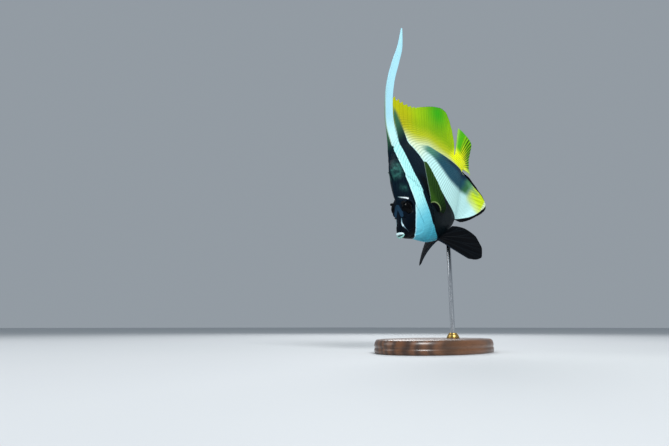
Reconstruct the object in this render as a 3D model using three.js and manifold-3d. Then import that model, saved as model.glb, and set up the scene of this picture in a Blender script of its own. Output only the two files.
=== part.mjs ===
// Masked bannerfish (Heniochus monoceros), an adult at life size, hovering head down on a plain display
// stand. Units are millimetres, +Z up. The origin is the centre of the base's underside. The fish heads
// towards -X and its left side faces -Y.
import * as THREE from "three";
import { mergeVertices } from "three/addons/utils/BufferGeometryUtils.js";
import Module from "manifold-3d";

const wasm = await Module();
wasm.setup();

// Driving dimensions
const STANDARD_LENGTH = 165; // snout tip to tail base
const HEAD_DOWN_DEG = 41.6; // pitch of the body below level
const MOUTH_HEIGHT = 120; // mouth above the floor
const MOUTH_AHEAD = 58; // mouth ahead of the base's centre
const GAP = 0.3; // clearance between neighbouring pieces
const SINK = 3; // how deep a fin root is set before it is cut clear of the body
const BASE = { long: 160, wide: 104, thick: 14, bevel: 1.8 };
const ROD = { radius: 2.5, station: 8.3, sunk: 9, seat: 6 };
const COLLAR = { radius: 7, height: 6 };

// Fish frame: x runs back from the snout tip and z up towards the back, both as shares of the standard
// length; y is to the fish's right.
const share = (value) => value * STANDARD_LENGTH;
const at = (x, z) => new THREE.Vector2(share(x), share(z));
const curve = (points) => new THREE.SplineCurve(points.map((p) => at(...p)));
const mix = THREE.MathUtils.lerp;
const LEFT = -1;
const RIGHT = 1;
const WIDE = share(0.3); // past the fish's side, for cutting shapes

// Stations of the body from the snout to the tail base: the back's x and z, the belly's x and z, half the
// width, the height of the widest place as a share of the depth, and how pinched the back and belly are.
const STATIONS = [
  { back: [0.022, 0.01], belly: [0.025, -0.032], half: 0.026, widest: 0.5, ridge: 1, keel: 1 },
  { back: [0.047, 0.04], belly: [0.044, -0.054], half: 0.036, widest: 0.5, ridge: 1, keel: 1 },
  { back: [0.08, 0.076], belly: [0.074, -0.078], half: 0.043, widest: 0.5, ridge: 1, keel: 1 },
  { back: [0.112, 0.122], belly: [0.11, -0.105], half: 0.05, widest: 0.52, ridge: 1.2, keel: 1.05 },
  { back: [0.147, 0.2], belly: [0.154, -0.149], half: 0.06, widest: 0.52, ridge: 1.7, keel: 1.1 },
  { back: [0.186, 0.281], belly: [0.208, -0.197], half: 0.073, widest: 0.49, ridge: 1.9, keel: 1.1 },
  { back: [0.226, 0.365], belly: [0.27, -0.235], half: 0.086, widest: 0.46, ridge: 1.75, keel: 1.1 },
  { back: [0.3, 0.424], belly: [0.352, -0.267], half: 0.094, widest: 0.45, ridge: 1.6, keel: 1.1 },
  { back: [0.4, 0.447], belly: [0.455, -0.284], half: 0.093, widest: 0.45, ridge: 1.5, keel: 1.15 },
  { back: [0.51, 0.418], belly: [0.56, -0.289], half: 0.085, widest: 0.46, ridge: 1.45, keel: 1.25 },
  { back: [0.62, 0.35], belly: [0.66, -0.259], half: 0.073, widest: 0.48, ridge: 1.4, keel: 1.3 },
  { back: [0.73, 0.262], belly: [0.76, -0.2], half: 0.059, widest: 0.49, ridge: 1.35, keel: 1.3 },
  { back: [0.84, 0.165], belly: [0.86, -0.133], half: 0.043, widest: 0.5, ridge: 1.2, keel: 1.2 },
  { back: [0.93, 0.09], belly: [0.935, -0.085], half: 0.03, widest: 0.5, ridge: 1.1, keel: 1.1 },
  { back: [1, 0.066], belly: [1, -0.068], half: 0.02, widest: 0.5, ridge: 1, keel: 1 },
];
const LAST = STATIONS.length - 1;
const SLICES_PER_STATION = 2;
const RING_POINTS = 32;

const backLine = curve(STATIONS.map((s) => s.back));
const bellyLine = curve(STATIONS.map((s) => s.belly));
const girth = new THREE.SplineCurve(STATIONS.map((s) => new THREE.Vector2(share(s.half), s.widest)));
const pinch = new THREE.SplineCurve(STATIONS.map((s) => new THREE.Vector2(s.ridge, s.keel)));

// A point of the body's skin at a station (0 to LAST) and an angle round it, 0 at the back and PI at the
// belly, pushed out by grow.
function skinPoint(station, angle, grow = 0) {
  const t = station / LAST;
  const top = backLine.getPoint(t);
  const bottom = bellyLine.getPoint(t);
  const inset = Math.max(grow, -0.3 * top.distanceTo(bottom));
  const chord = top.clone().sub(bottom).normalize();
  top.addScaledVector(chord, inset);
  bottom.addScaledVector(chord, -inset);
  const { x: half, y: widest } = girth.getPoint(t);
  const { x: ridge, y: keel } = pinch.getPoint(t);
  const c = Math.cos(angle);
  const s = Math.sin(angle);
  const height = c > 0 ? mix(widest, 1, c) : mix(widest, 0, -c);
  const reach = Math.max(half + grow, half * 0.3);
  const side = Math.sign(s) * reach * Math.abs(s) ** (c > 0 ? ridge : keel);
  const middle = bottom.lerp(top, height);
  return new THREE.Vector3(middle.x, side, middle.y);
}

// Half the body's width at a place on its side, found by stepping over the skin.
function sideAt(x, z) {
  let best = { miss: Infinity, side: 0 };
  for (let station = 0; station <= LAST; station += 0.05) {
    for (let degrees = 2; degrees < 180; degrees += 3) {
      const p = skinPoint(station, THREE.MathUtils.degToRad(degrees));
      const miss = Math.hypot(p.x - share(x), p.z - share(z));
      if (miss < best.miss) {
        best = { miss, side: p.y };
      }
    }
  }
  return best.side;
}

// Closed solids

function solidFromTriangles(points, triangles) {
  const vertProperties = new Float32Array(points.flatMap((p) => [p.x, p.y, p.z]));
  const build = (faces) =>
    new wasm.Manifold(new wasm.Mesh({ numProp: 3, vertProperties, triVerts: new Uint32Array(faces.flat()) }));
  const made = build(triangles);
  return made.volume() > 0 ? made : build(triangles.map(([a, b, c]) => [a, c, b]));
}

function solidOf(geometry) {
  const bare = geometry.clone();
  bare.deleteAttribute("normal");
  bare.deleteAttribute("uv");
  const merged = mergeVertices(bare, 1e-4);
  const { position } = merged.attributes;
  const points = [];
  for (let i = 0; i < position.count; i++) {
    points.push(new THREE.Vector3().fromBufferAttribute(position, i));
  }
  const corners = merged.index ? [...merged.index.array] : points.map((_, i) => i);
  const triangles = [];
  for (let i = 0; i < corners.length; i += 3) {
    const triangle = corners.slice(i, i + 3);
    if (new Set(triangle).size === 3) {
      triangles.push(triangle);
    }
  }
  return solidFromTriangles(points, triangles);
}

// Rings of equal length joined one to the next, capped at both ends, or joined end to end as a loop.
function solidFromRings(rings, loop = false) {
  const around = rings[0].length;
  const points = rings.flat();
  const triangles = [];
  const joins = loop ? rings.length : rings.length - 1;
  for (let i = 0; i < joins; i++) {
    const next = (i + 1) % rings.length;
    for (let j = 0; j < around; j++) {
      const k = (j + 1) % around;
      const [a, b, c, d] = [i * around + j, i * around + k, next * around + k, next * around + j];
      triangles.push([a, b, c], [a, c, d]);
    }
  }
  if (!loop) {
    const cap = (ring, flip) => {
      const centre = rings[ring].reduce((sum, p) => sum.add(p), new THREE.Vector3()).divideScalar(around);
      const hub = points.push(centre) - 1;
      for (let j = 0; j < around; j++) {
        const [a, b] = [ring * around + j, ring * around + ((j + 1) % around)];
        triangles.push(flip ? [hub, b, a] : [hub, a, b]);
      }
    };
    cap(0, true);
    cap(rings.length - 1, false);
  }
  return solidFromTriangles(points, triangles);
}

// Only the largest closed body of a solid, with what a cut or a union left loose dropped.
function largest(solid) {
  return solid.decompose().reduce((best, piece) => (piece.volume() > best.volume() ? piece : best));
}

// A flat outline in the fish's x and z, extruded across the fish between two y values.
function slab(outline, from = -WIDE, to = WIDE) {
  const across = { depth: to - from, bevelEnabled: false };
  const geometry = new THREE.ExtrudeGeometry(new THREE.Shape(outline), across);
  geometry.rotateX(Math.PI / 2);
  geometry.translate(0, to, 0);
  return solidOf(geometry);
}

function ball(rx, ry, rz, around, down) {
  return solidOf(new THREE.SphereGeometry(1, around, down).scale(rx, ry, rz));
}

// Body: one skin, parted by thin cuts into head, trunk and tail base

function bodySolid(grow = 0) {
  const rings = [];
  const slices = LAST * SLICES_PER_STATION;
  for (let i = 0; i <= slices; i++) {
    const ring = [];
    for (let j = 0; j < RING_POINTS; j++) {
      ring.push(skinPoint(i / SLICES_PER_STATION, (2 * Math.PI * j) / RING_POINTS, grow));
    }
    rings.push(ring);
  }
  rings[0].forEach((p) => p.setX(p.x - grow));
  rings[slices].forEach((p) => p.setX(p.x + grow));
  return solidFromRings(rings);
}

const body = bodySolid();
const bodyClear = bodySolid(GAP);
const clearOfBody = (solid) => largest(solid.subtract(bodyClear));

// The rear edge of the head, from the nape down the gill opening to the throat.
const gillEdge = curve([
  [0.2, 0.5], [0.252, 0.36], [0.292, 0.24], [0.322, 0.12], [0.33, 0.02], [0.306, -0.08], [0.23, -0.17],
  [0.13, -0.26], [0.05, -0.35],
]);
const EDGE_STEPS = 30;
const SLANT_GAP = 0.4; // a gap measured along x across a slanting edge

function headRegion(shift) {
  const edge = gillEdge.getPoints(EDGE_STEPS).map((p) => new THREE.Vector2(p.x + shift, p.y));
  return slab([at(-0.3, 0.5), ...edge, at(-0.3, -0.35)]);
}

const TAIL_CUT = 0.945;
function behindTailCut(shift) {
  const front = share(TAIL_CUT) + shift;
  const rear = share(1.2);
  return slab([[front, 60], [front, -60], [rear, -60], [rear, 60]].map((p) => new THREE.Vector2(...p)));
}

// Eyes: flattened balls in sockets with a low rim of skin, and a short blunt horn above each.
const EYE = { x: 0.154, z: 0.106, radius: 0.043, depth: 0.026, reach: 0.07 };
const RIM = { roll: 1.3, stand: 0.8 };
const HORN = { x: 0.146, z: 0.148, y: 0.042, length: 3.2, root: 2.3, tip: 1.4, sunk: 3 };
const eyeSide = share(EYE.reach - EYE.depth);

const rimSide = sideAt(EYE.x, EYE.z) + RIM.stand - RIM.roll;

function eyeSolid(side, grow = 0) {
  const radius = share(EYE.radius) + grow;
  const depth = share(EYE.depth) + grow;
  return ball(radius, depth, radius, 24, 8).translate([share(EYE.x), side * eyeSide, share(EYE.z)]);
}

function torus(turns, rollPoints, place) {
  const rings = [];
  for (let i = 0; i < turns; i++) {
    const ring = [];
    for (let j = 0; j < rollPoints; j++) {
      ring.push(place((2 * Math.PI * i) / turns, (2 * Math.PI * j) / rollPoints));
    }
    rings.push(ring);
  }
  return solidFromRings(rings, true);
}

function eyeRim(side) {
  return torus(24, 5, (around, roll) => {
    const radius = share(EYE.radius) + RIM.roll * (0.5 + Math.cos(roll));
    return new THREE.Vector3(
      share(EYE.x) + radius * Math.cos(around),
      side * (rimSide + RIM.roll * Math.sin(roll)),
      share(EYE.z) + radius * Math.sin(around),
    );
  });
}

function hornSolid(side, grow = 0) {
  const { length, root, tip, sunk } = HORN;
  const profile = [
    [0, -sunk - grow], [root + grow, -sunk - grow], [root + grow, 0],
    [mix(root, tip, 0.5) + grow, length * 0.45],
    [tip + grow, length * 0.85], [tip * 0.55 + grow, length + grow * 0.5], [0, length + tip * 0.3 + grow],
  ];
  const lathe = new THREE.LatheGeometry(profile.map((p) => new THREE.Vector2(...p)), 14);
  const way = new THREE.Vector3(-0.3, side * 0.8, 0.5).normalize();
  lathe.applyQuaternion(new THREE.Quaternion().setFromUnitVectors(new THREE.Vector3(0, 1, 0), way));
  lathe.translate(share(HORN.x), side * share(HORN.y), share(HORN.z));
  return solidOf(lathe).subtract(eyeSolid(side, GAP));
}

// The bony knob on the nape, a swelling of the head.
const KNOB = { x: 0.206, z: 0.292, thick: 4.4, wide: 4.4, long: 7.5, lean: 25 };
const knob = ball(KNOB.thick, KNOB.wide, KNOB.long, 20, 10)
  .rotate([0, KNOB.lean, 0])
  .translate([share(KNOB.x), 0, share(KNOB.z)]);

// Gill covers: thin plates let into the sides of the head, a little proud of it.
const PLATE = { thick: 3, proud: 0.5, inner: 2, top: 0.2, bottom: -0.125, play: 1.04 };
const gillFront = curve([[0.235, 0.2], [0.212, 0.1], [0.205, 0], [0.212, -0.08], [0.235, -0.135]]);

function gillOutline(scale) {
  const onPlate = (p) => p.y < share(PLATE.top) && p.y > share(PLATE.bottom);
  const rear = gillEdge.getPoints(EDGE_STEPS).filter(onPlate);
  const outline = [...rear, ...gillFront.getPoints(10).reverse()];
  const centre = outline.reduce((sum, p) => sum.add(p), new THREE.Vector2()).divideScalar(outline.length);
  return outline.map((p) => p.clone().sub(centre).multiplyScalar(scale).add(centre));
}

const offMiddle = (side, from) => (side < 0 ? [-WIDE, -from] : [from, WIDE]);
const plateShell = bodySolid(PLATE.proud).subtract(bodySolid(-PLATE.thick));
const gillSlab = (side, scale) => slab(gillOutline(scale), ...offMiddle(side, PLATE.inner));
const gillCover = (side) => largest(plateShell.intersect(gillSlab(side, 1)));
const plateFloor = bodySolid(-PLATE.thick - GAP);
const gillPocket = (side) => gillSlab(side, PLATE.play).subtract(plateFloor);

// Lips: two rolls round a small mouth, just ahead of the snout.
const MOUTH = { x: 2.1, z: -1.8, half: 4.2, gape: 1.6, roll: 1.4, bow: 1.6 };

const lipRing = torus(20, 8, (around, roll) => {
  const thick = MOUTH.roll * (1 + 0.2 * Math.abs(Math.sin(around)));
  return new THREE.Vector3(
    MOUTH.x + MOUTH.bow * Math.cos(around) ** 2 - 1.3 * thick * Math.sin(roll),
    Math.cos(around) * (MOUTH.half + thick * Math.cos(roll)),
    MOUTH.z + Math.sin(around) * (MOUTH.gape + thick * Math.cos(roll)),
  );
});
const lipsAbove = (z) =>
  slab([[-30, z], [30, z], [30, 30], [-30, 30]].map((p) => new THREE.Vector2(...p)));
const upperLip = clearOfBody(lipRing.intersect(lipsAbove(MOUTH.z + GAP / 2)));
const lowerLip = clearOfBody(lipRing.subtract(lipsAbove(MOUTH.z - GAP / 2)));
const throatPlace = [share(STATIONS[0].back[0]), 0, MOUTH.z];
const throatPit = ball(4, MOUTH.half * 0.8, MOUTH.gape * 0.7, 14, 6).translate(throatPlace);

// Nostrils: a small raised ring with a pit, ahead of each eye.
const NOSTRIL = { x: 0.1, z: 0.07, radius: 0.9 };
const nostrilSide = sideAt(NOSTRIL.x, NOSTRIL.z);

function nostril(side, radius, depth) {
  const place = [share(NOSTRIL.x), side * nostrilSide, share(NOSTRIL.z)];
  return ball(radius, depth, radius, 12, 6).translate(place);
}

const head = largest(
  [LEFT, RIGHT].reduce(
    (solid, side) =>
      solid
        .add(eyeRim(side))
        .add(nostril(side, NOSTRIL.radius * 1.8, 0.8))
        .subtract(nostril(side, NOSTRIL.radius, 2))
        .subtract(eyeSolid(side, GAP))
        .subtract(hornSolid(side, GAP))
        .subtract(gillPocket(side)),
    body.add(knob).intersect(headRegion(0)).subtract(throatPit),
  ),
);

// Fins. Each is a sheet over four borders: b runs from root (0) to margin (1), and t from the front border
// (0) to the rear border (1). A border is straight, or goes through the points it is given.
function patch({ root, margin, frontVia = [], rearVia = [] }) {
  const border = (t, via) => new THREE.SplineCurve([root.getPoint(t), ...via, margin.getPoint(t)]);
  const front = border(0, frontVia);
  const rear = border(1, rearVia);
  return (t, b) =>
    root.getPoint(t).multiplyScalar(1 - b)
      .addScaledVector(margin.getPoint(t), b)
      .addScaledVector(front.getPoint(b), 1 - t)
      .addScaledVector(rear.getPoint(b), t)
      .addScaledVector(root.getPoint(0), -(1 - t) * (1 - b))
      .addScaledVector(root.getPoint(1), -t * (1 - b))
      .addScaledVector(margin.getPoint(0), -(1 - t) * b)
      .addScaledVector(margin.getPoint(1), -t * b);
}

const acrossFish = new THREE.Vector3(0, 1, 0);
const inMidPlane = (p) => new THREE.Vector3(p.x, 0, p.y);

// A fin's solid, uncut. Columns run along the rays, with one of membrane between two rays, and both faces
// are split alike. place sets a point of the sheet in space, with b below zero for the sunk root; faces look
// along out, ray and membrane hold thickness at root and margin, and notch shortens membrane between tips.
function finSheet({ sheet, rays, rows, place = inMidPlane, out = acrossFish, ray, membrane = ray, notch = 0 }) {
  const columns = (rays - 1) * 2;
  const top = rows + 1;
  const points = [];
  const index = (j, i, face) => (j * (top + 1) + i) * 2 + face;
  for (let j = 0; j <= columns; j++) {
    const t = j / columns;
    const isRay = j % 2 === 0;
    const thick = isRay ? ray : membrane;
    const length = sheet(t, 0).distanceTo(sheet(t, 1));
    const end = isRay ? 1 : 1 - notch / length;
    const inward = sheet(t, 0).sub(sheet(t, 0.08)).normalize();
    for (let i = 0; i <= top; i++) {
      const b = (Math.max(i - 1, 0) / rows) * end;
      const middle = i ? place(sheet(t, b), t, b) : place(sheet(t, 0).addScaledVector(inward, SINK), t, -0.01);
      const half = mix(...thick, b ** 0.7) / 2;
      points.push(middle.clone().addScaledVector(out, half), middle.clone().addScaledVector(out, -half));
    }
  }
  const triangles = [];
  const quad = (a, b, c, d) => triangles.push([a, b, c], [a, c, d]);
  for (let j = 0; j < columns; j++) {
    for (let i = 0; i < top; i++) {
      quad(index(j, i, 0), index(j + 1, i, 0), index(j + 1, i + 1, 0), index(j, i + 1, 0));
      const [a, b, c, d] = [index(j, i, 1), index(j + 1, i, 1), index(j + 1, i + 1, 1), index(j, i + 1, 1)];
      triangles.push([a, c, b], [a, d, c]);
    }
    quad(index(j, 0, 1), index(j + 1, 0, 1), index(j + 1, 0, 0), index(j, 0, 0));
    quad(index(j, top, 0), index(j + 1, top, 0), index(j + 1, top, 1), index(j, top, 1));
  }
  for (let i = 0; i < top; i++) {
    quad(index(0, i, 0), index(0, i + 1, 0), index(0, i + 1, 1), index(0, i, 1));
    quad(index(columns, i, 1), index(columns, i + 1, 1), index(columns, i + 1, 0), index(columns, i, 0));
  }
  return solidFromTriangles(points, triangles);
}

const fin = (options) => clearOfBody(finSheet(options));
const alongBack = (from, to) => ({ getPoint: (t) => backLine.getPoint(mix(from, to, t) / LAST) });
const alongBelly = (from, to) => ({ getPoint: (t) => bellyLine.getPoint(mix(from, to, t) / LAST) });
const SEAM = 0.4; // between two borders of the back fin that run side by side

// The long white banner: the fourth spine of the back with the membrane behind it.
const BANNER_SWAY = -0.02;
const BANNER_FRONT = [
  [0.358, 0.438], [0.372, 0.52], [0.404, 0.598], [0.455, 0.668], [0.545, 0.76], [0.655, 0.842], [0.785, 0.915],
  [0.915, 0.978], [1.048, 1.066],
];
const BANNER_REAR = [
  [0.443, 0.438], [0.458, 0.5], [0.492, 0.573], [0.538, 0.642], [0.612, 0.722], [0.712, 0.802], [0.835, 0.874],
  [0.955, 0.95], [1.056, 1.06],
];

function bannerSheet(grow, ray, membrane) {
  const front = BANNER_FRONT.map((p) => at(...p).add(new THREE.Vector2(-grow, 0)));
  const rear = BANNER_REAR.map((p) => at(...p).add(new THREE.Vector2(grow, 0)));
  return finSheet({
    sheet: patch({
      root: new THREE.LineCurve(front[0], rear[0]),
      margin: new THREE.LineCurve(front.at(-1), rear.at(-1)),
      frontVia: front.slice(1, -1),
      rearVia: rear.slice(1, -1),
    }),
    rays: 3,
    rows: 24,
    place: (p, t, b) => new THREE.Vector3(p.x, share(BANNER_SWAY) * b * b, p.y),
    ray,
    membrane,
  });
}

const banner = clearOfBody(bannerSheet(0, [2.6, 0.9], [1.8, 0.55]));
const bannerSlot = bannerSheet(SEAM, [8, 4], [8, 4]);

// The other pieces of the back fin: short front spines, the spines behind the banner, and the soft rays.
const SPINE_ROOTS = { first: 6.45, fourth: 7.7, fifth: 8.3, soft: 10.35, end: 13.25 };
const frontFin = largest(
  fin({
    sheet: patch({
      root: alongBack(SPINE_ROOTS.first, SPINE_ROOTS.fourth),
      margin: curve([[0.27, 0.415], [0.302, 0.458], [0.346, 0.512], [0.41, 0.605]]),
      rearVia: [at(0.386, 0.53)],
    }),
    rays: 4,
    rows: 5,
    ray: [2.8, 1],
    membrane: [1.8, 0.55],
    notch: 0.8,
  }).subtract(bannerSlot),
);

const spinyFin = largest(
  fin({
    sheet: patch({
      root: alongBack(SPINE_ROOTS.fifth, SPINE_ROOTS.soft),
      margin: curve([
        [0.612, 0.735], [0.655, 0.695], [0.69, 0.652], [0.735, 0.606], [0.78, 0.572], [0.832, 0.545],
      ]),
      frontVia: [at(0.478, 0.573), at(0.528, 0.645)],
    }),
    rays: 8,
    rows: 8,
    ray: [2.8, 1],
    membrane: [1.7, 0.55],
    notch: 4,
  }).subtract(bannerSlot),
);

const besideSpines = new THREE.Vector2(SEAM, 0);
const softRoot = alongBack(SPINE_ROOTS.soft, SPINE_ROOTS.end);
const softFin = fin({
  sheet: patch({
    root: { getPoint: (t) => softRoot.getPoint(t).addScaledVector(besideSpines, 1 - t) },
    margin: curve([
      [0.8345, 0.545], [0.907, 0.514], [0.975, 0.487], [1.045, 0.452], [1.102, 0.415], [1.136, 0.37],
      [1.137, 0.32], [1.124, 0.27], [1.105, 0.22], [1.075, 0.165], [1.042, 0.12], [1.006, 0.09],
    ]),
  }),
  rays: 20,
  rows: 5,
  ray: [2.6, 0.9],
  membrane: [1.7, 0.55],
});

// Anal and tail fins. The lower half of the tail fin bends to the fish's right.
const analFin = fin({
  sheet: patch({
    root: alongBelly(9.55, 13.2),
    margin: curve([
      [0.664, -0.336], [0.72, -0.367], [0.804, -0.402], [0.9, -0.434], [0.985, -0.459], [1.055, -0.464],
      [1.094, -0.42], [1.093, -0.362], [1.08, -0.31], [1.067, -0.26], [1.053, -0.206], [1.033, -0.152],
      [0.998, -0.1],
    ]),
  }),
  rays: 17,
  rows: 5,
  ray: [2.6, 0.9],
  membrane: [1.7, 0.55],
});

const TAIL_MARGIN = [
  { x: 1.198, z: 0.2, bend: -0.003 },
  { x: 1.215, z: 0.15, bend: -0.016 },
  { x: 1.224, z: 0.1, bend: -0.026 },
  { x: 1.226, z: 0.05, bend: -0.034 },
  { x: 1.226, z: 0, bend: -0.013 },
  { x: 1.222, z: -0.05, bend: 0.024 },
  { x: 1.214, z: -0.1, bend: 0.052 },
  { x: 1.204, z: -0.15, bend: 0.072 },
  { x: 1.19, z: -0.206, bend: 0.082 },
];
const tailBend = curve(TAIL_MARGIN.map(({ x, bend }) => [x, bend]));
const tailFin = fin({
  sheet: patch({
    root: new THREE.LineCurve(at(0.995, 0.058), at(0.995, -0.06)),
    margin: curve(TAIL_MARGIN.map(({ x, z }) => [x, z])),
  }),
  rays: 15,
  rows: 6,
  place: (p, t, b) => new THREE.Vector3(p.x, tailBend.getPoint(t).y * Math.abs(b) ** 1.6, p.y),
  ray: [3.6, 0.9],
  membrane: [2.8, 0.55],
});

// Pectoral fins: fans on the sides behind the gill openings, flaring away from the body.
const PECTORAL = { flare: 0.2, lift: 1.6, liftOver: 4, sunkSide: 1 };
const pectoralRoot = new THREE.LineCurve(at(0.335, 0.014), at(0.371, -0.068));
const pectoralSide = sideAt(0.353, -0.027) - PECTORAL.sunkSide;

function pectoralFin(side) {
  const { flare, lift, liftOver } = PECTORAL;
  return fin({
    sheet: patch({
      root: pectoralRoot,
      margin: curve([
        [0.388, 0.292], [0.416, 0.268], [0.436, 0.204], [0.454, 0.122], [0.463, 0.043], [0.459, -0.03],
        [0.434, -0.09], [0.394, -0.106],
      ]),
    }),
    rays: 12,
    rows: 5,
    place: (p, t, b) => {
      const reach = p.distanceTo(pectoralRoot.getPoint(t));
      const away = b < 0 ? -SINK : flare * reach + lift * (1 - Math.exp(-reach / liftOver));
      return new THREE.Vector3(p.x, side * (pectoralSide + away), p.y);
    },
    ray: [2.2, 0.9],
    membrane: [1.6, 0.55],
  });
}

// Pelvic fins: fans under the belly, each spread in a plane that slants outwards and down. The right one is
// cupped and twisted, with its rear edge raised.
const PELVIC = { x: 0.35, y: 0.03, z: -0.27, slant: 0.65, length: 0.28 };
const PELVIC_POSE = {
  [LEFT]: { back: 0, twist: 0, cup: 0, sweep: 0, long: 1 },
  [RIGHT]: { back: 0.018, twist: 0.34, cup: 0.018, sweep: -0.1, long: 0.91 },
};

function pelvicFin(side) {
  const { back, twist, cup, sweep, long } = PELVIC_POSE[side];
  const down = new THREE.Vector3(0, side * Math.cos(PELVIC.slant), -Math.sin(PELVIC.slant));
  const face = new THREE.Vector3(0, side * Math.sin(PELVIC.slant), Math.cos(PELVIC.slant));
  const across = new THREE.Vector3(Math.cos(twist), 0, 0).addScaledVector(face, Math.sin(twist));
  const ownSide = slab([at(0, -1), at(1, -1), at(1, 0), at(0, 0)], ...offMiddle(side, GAP));
  const spread = fin({
    sheet: patch({
      root: new THREE.LineCurve(at(-0.026, -0.02), at(0.03, -0.02)),
      margin: curve([
        [-0.086, 0.222], [-0.064, 0.27], [-0.024, 0.29], [0.014, 0.284], [0.066, 0.26], [0.112, 0.224],
        [0.15, 0.184], [0.178, 0.135], [0.188, 0.085], [0.182, 0.04], [0.16, 0.006],
      ]),
    }),
    rays: 10,
    rows: 5,
    place: (p, t, b) => {
      const reach = b < 0 ? p.y - SINK : p.y * long;
      const along = reach / share(PELVIC.length);
      return new THREE.Vector3(share(PELVIC.x + back) + sweep * reach, side * share(PELVIC.y), share(PELVIC.z))
        .addScaledVector(across, p.x)
        .addScaledVector(down, reach)
        .addScaledVector(face, share(cup) * 4 * along * (1 - along));
    },
    out: face,
    ray: [2.6, 0.9],
    membrane: [1.8, 0.55],
  });
  return largest(spread.intersect(ownSide));
}

// Stand: an oval wooden base, one steel rod that rises into the belly, and a brass collar round its foot.
const pitch = THREE.MathUtils.degToRad(HEAD_DOWN_DEG);
const fishPlace = new THREE.Matrix4()
  .makeTranslation(-MOUTH_AHEAD, 0, MOUTH_HEIGHT)
  .multiply(new THREE.Matrix4().makeRotationY(-pitch));
const bellyPoint = bellyLine.getPoint(ROD.station / LAST);
const rodTop = new THREE.Vector3(bellyPoint.x, 0, bellyPoint.y).applyMatrix4(fishPlace);

function rodSolid(grow) {
  const from = BASE.thick - ROD.seat - grow;
  const to = rodTop.z + ROD.sunk + grow;
  const geometry = new THREE.CylinderGeometry(ROD.radius + grow, ROD.radius + grow, to - from, 20);
  geometry.rotateX(Math.PI / 2).translate(rodTop.x, 0, (from + to) / 2);
  return solidOf(geometry);
}

const rodRoom = rodSolid(GAP);
const rodRoomInFish = rodRoom.transform(fishPlace.clone().invert().elements);

function baseSolid() {
  const { long, wide, thick, bevel } = BASE;
  const oval = new THREE.Shape().absellipse(0, 0, long / 2 - bevel, wide / 2 - bevel, 0, 2 * Math.PI);
  const geometry = new THREE.ExtrudeGeometry(oval, {
    depth: thick - 2 * bevel,
    bevelThickness: bevel,
    bevelSize: bevel,
    bevelSegments: 2,
    curveSegments: 24,
  });
  geometry.translate(0, 0, bevel);
  return solidOf(geometry).subtract(rodRoom);
}

function collarSolid() {
  const inner = ROD.radius + GAP;
  const { radius, height } = COLLAR;
  const profile = [
    [inner, 0], [radius, 0], [radius, height * 0.5], [radius * 0.7, height], [inner, height], [inner, 0],
  ];
  const lathe = new THREE.LatheGeometry(profile.map((p) => new THREE.Vector2(...p)), 24);
  lathe.rotateX(Math.PI / 2).translate(rodTop.x, 0, BASE.thick + GAP);
  return solidOf(lathe);
}

const torso = largest(body.subtract(headRegion(SLANT_GAP)).subtract(behindTailCut(0)).subtract(rodRoomInFish));
const tailBase = largest(body.intersect(behindTailCut(GAP)));

// Materials and the finished group
const COLORS = {
  mask: 0x17181c,
  lip: 0xb8bcc4,
  eye: 0x0c0d12,
  pearl: 0xd5dbe8,
  black: 0x14161c,
  olive: 0x6d7334,
  yellow: 0xd9c23a,
  wood: 0x6b4a30,
  steel: 0xb9bcc0,
  brass: 0xc2a25a,
};
const skin = (color, roughness = 0.45) => new THREE.MeshStandardMaterial({ color, roughness, metalness: 0 });
const metal = (color) => new THREE.MeshStandardMaterial({ color, roughness: 0.3, metalness: 1 });

function named(name, solid, material) {
  const { vertProperties, triVerts } = solid.getMesh();
  const geometry = new THREE.BufferGeometry();
  geometry.setAttribute("position", new THREE.BufferAttribute(vertProperties, 3));
  geometry.setIndex(new THREE.BufferAttribute(triVerts, 1));
  geometry.computeVertexNormals();
  const mesh = new THREE.Mesh(geometry, material);
  mesh.name = name;
  return mesh;
}

const fish = new THREE.Group();
fish.add(
  named("head", head, skin(COLORS.mask)),
  named("upper_lip", upperLip, skin(COLORS.lip)),
  named("lower_lip", lowerLip, skin(COLORS.lip)),
  named("torso", torso, skin(COLORS.pearl)),
  named("tail_base", tailBase, skin(COLORS.yellow)),
  named("dorsal_fin_front", frontFin, skin(COLORS.black)),
  named("dorsal_banner", banner, skin(COLORS.pearl)),
  named("dorsal_fin_spiny", spinyFin, skin(COLORS.pearl)),
  named("dorsal_fin_soft", softFin, skin(COLORS.yellow)),
  named("anal_fin", analFin, skin(COLORS.pearl)),
  named("caudal_fin", tailFin, skin(COLORS.yellow)),
);
for (const [sideName, side] of [["left", LEFT], ["right", RIGHT]]) {
  fish.add(
    named(`eye_${sideName}`, eyeSolid(side), skin(COLORS.eye, 0.1)),
    named(`horn_${sideName}`, hornSolid(side), skin(COLORS.mask, 0.6)),
    named(`gill_cover_${sideName}`, gillCover(side), skin(COLORS.pearl)),
    named(`pectoral_fin_${sideName}`, pectoralFin(side), skin(COLORS.olive)),
    named(`pelvic_fin_${sideName}`, pelvicFin(side), skin(COLORS.black)),
  );
}
fish.applyMatrix4(fishPlace);

const model = new THREE.Group();
model.add(
  fish,
  named("stand_base", baseSolid(), skin(COLORS.wood, 0.5)),
  named("stand_collar", collarSolid(), metal(COLORS.brass)),
  named("stand_rod", rodSolid(0), metal(COLORS.steel)),
);

export default model;
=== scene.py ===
import math

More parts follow.
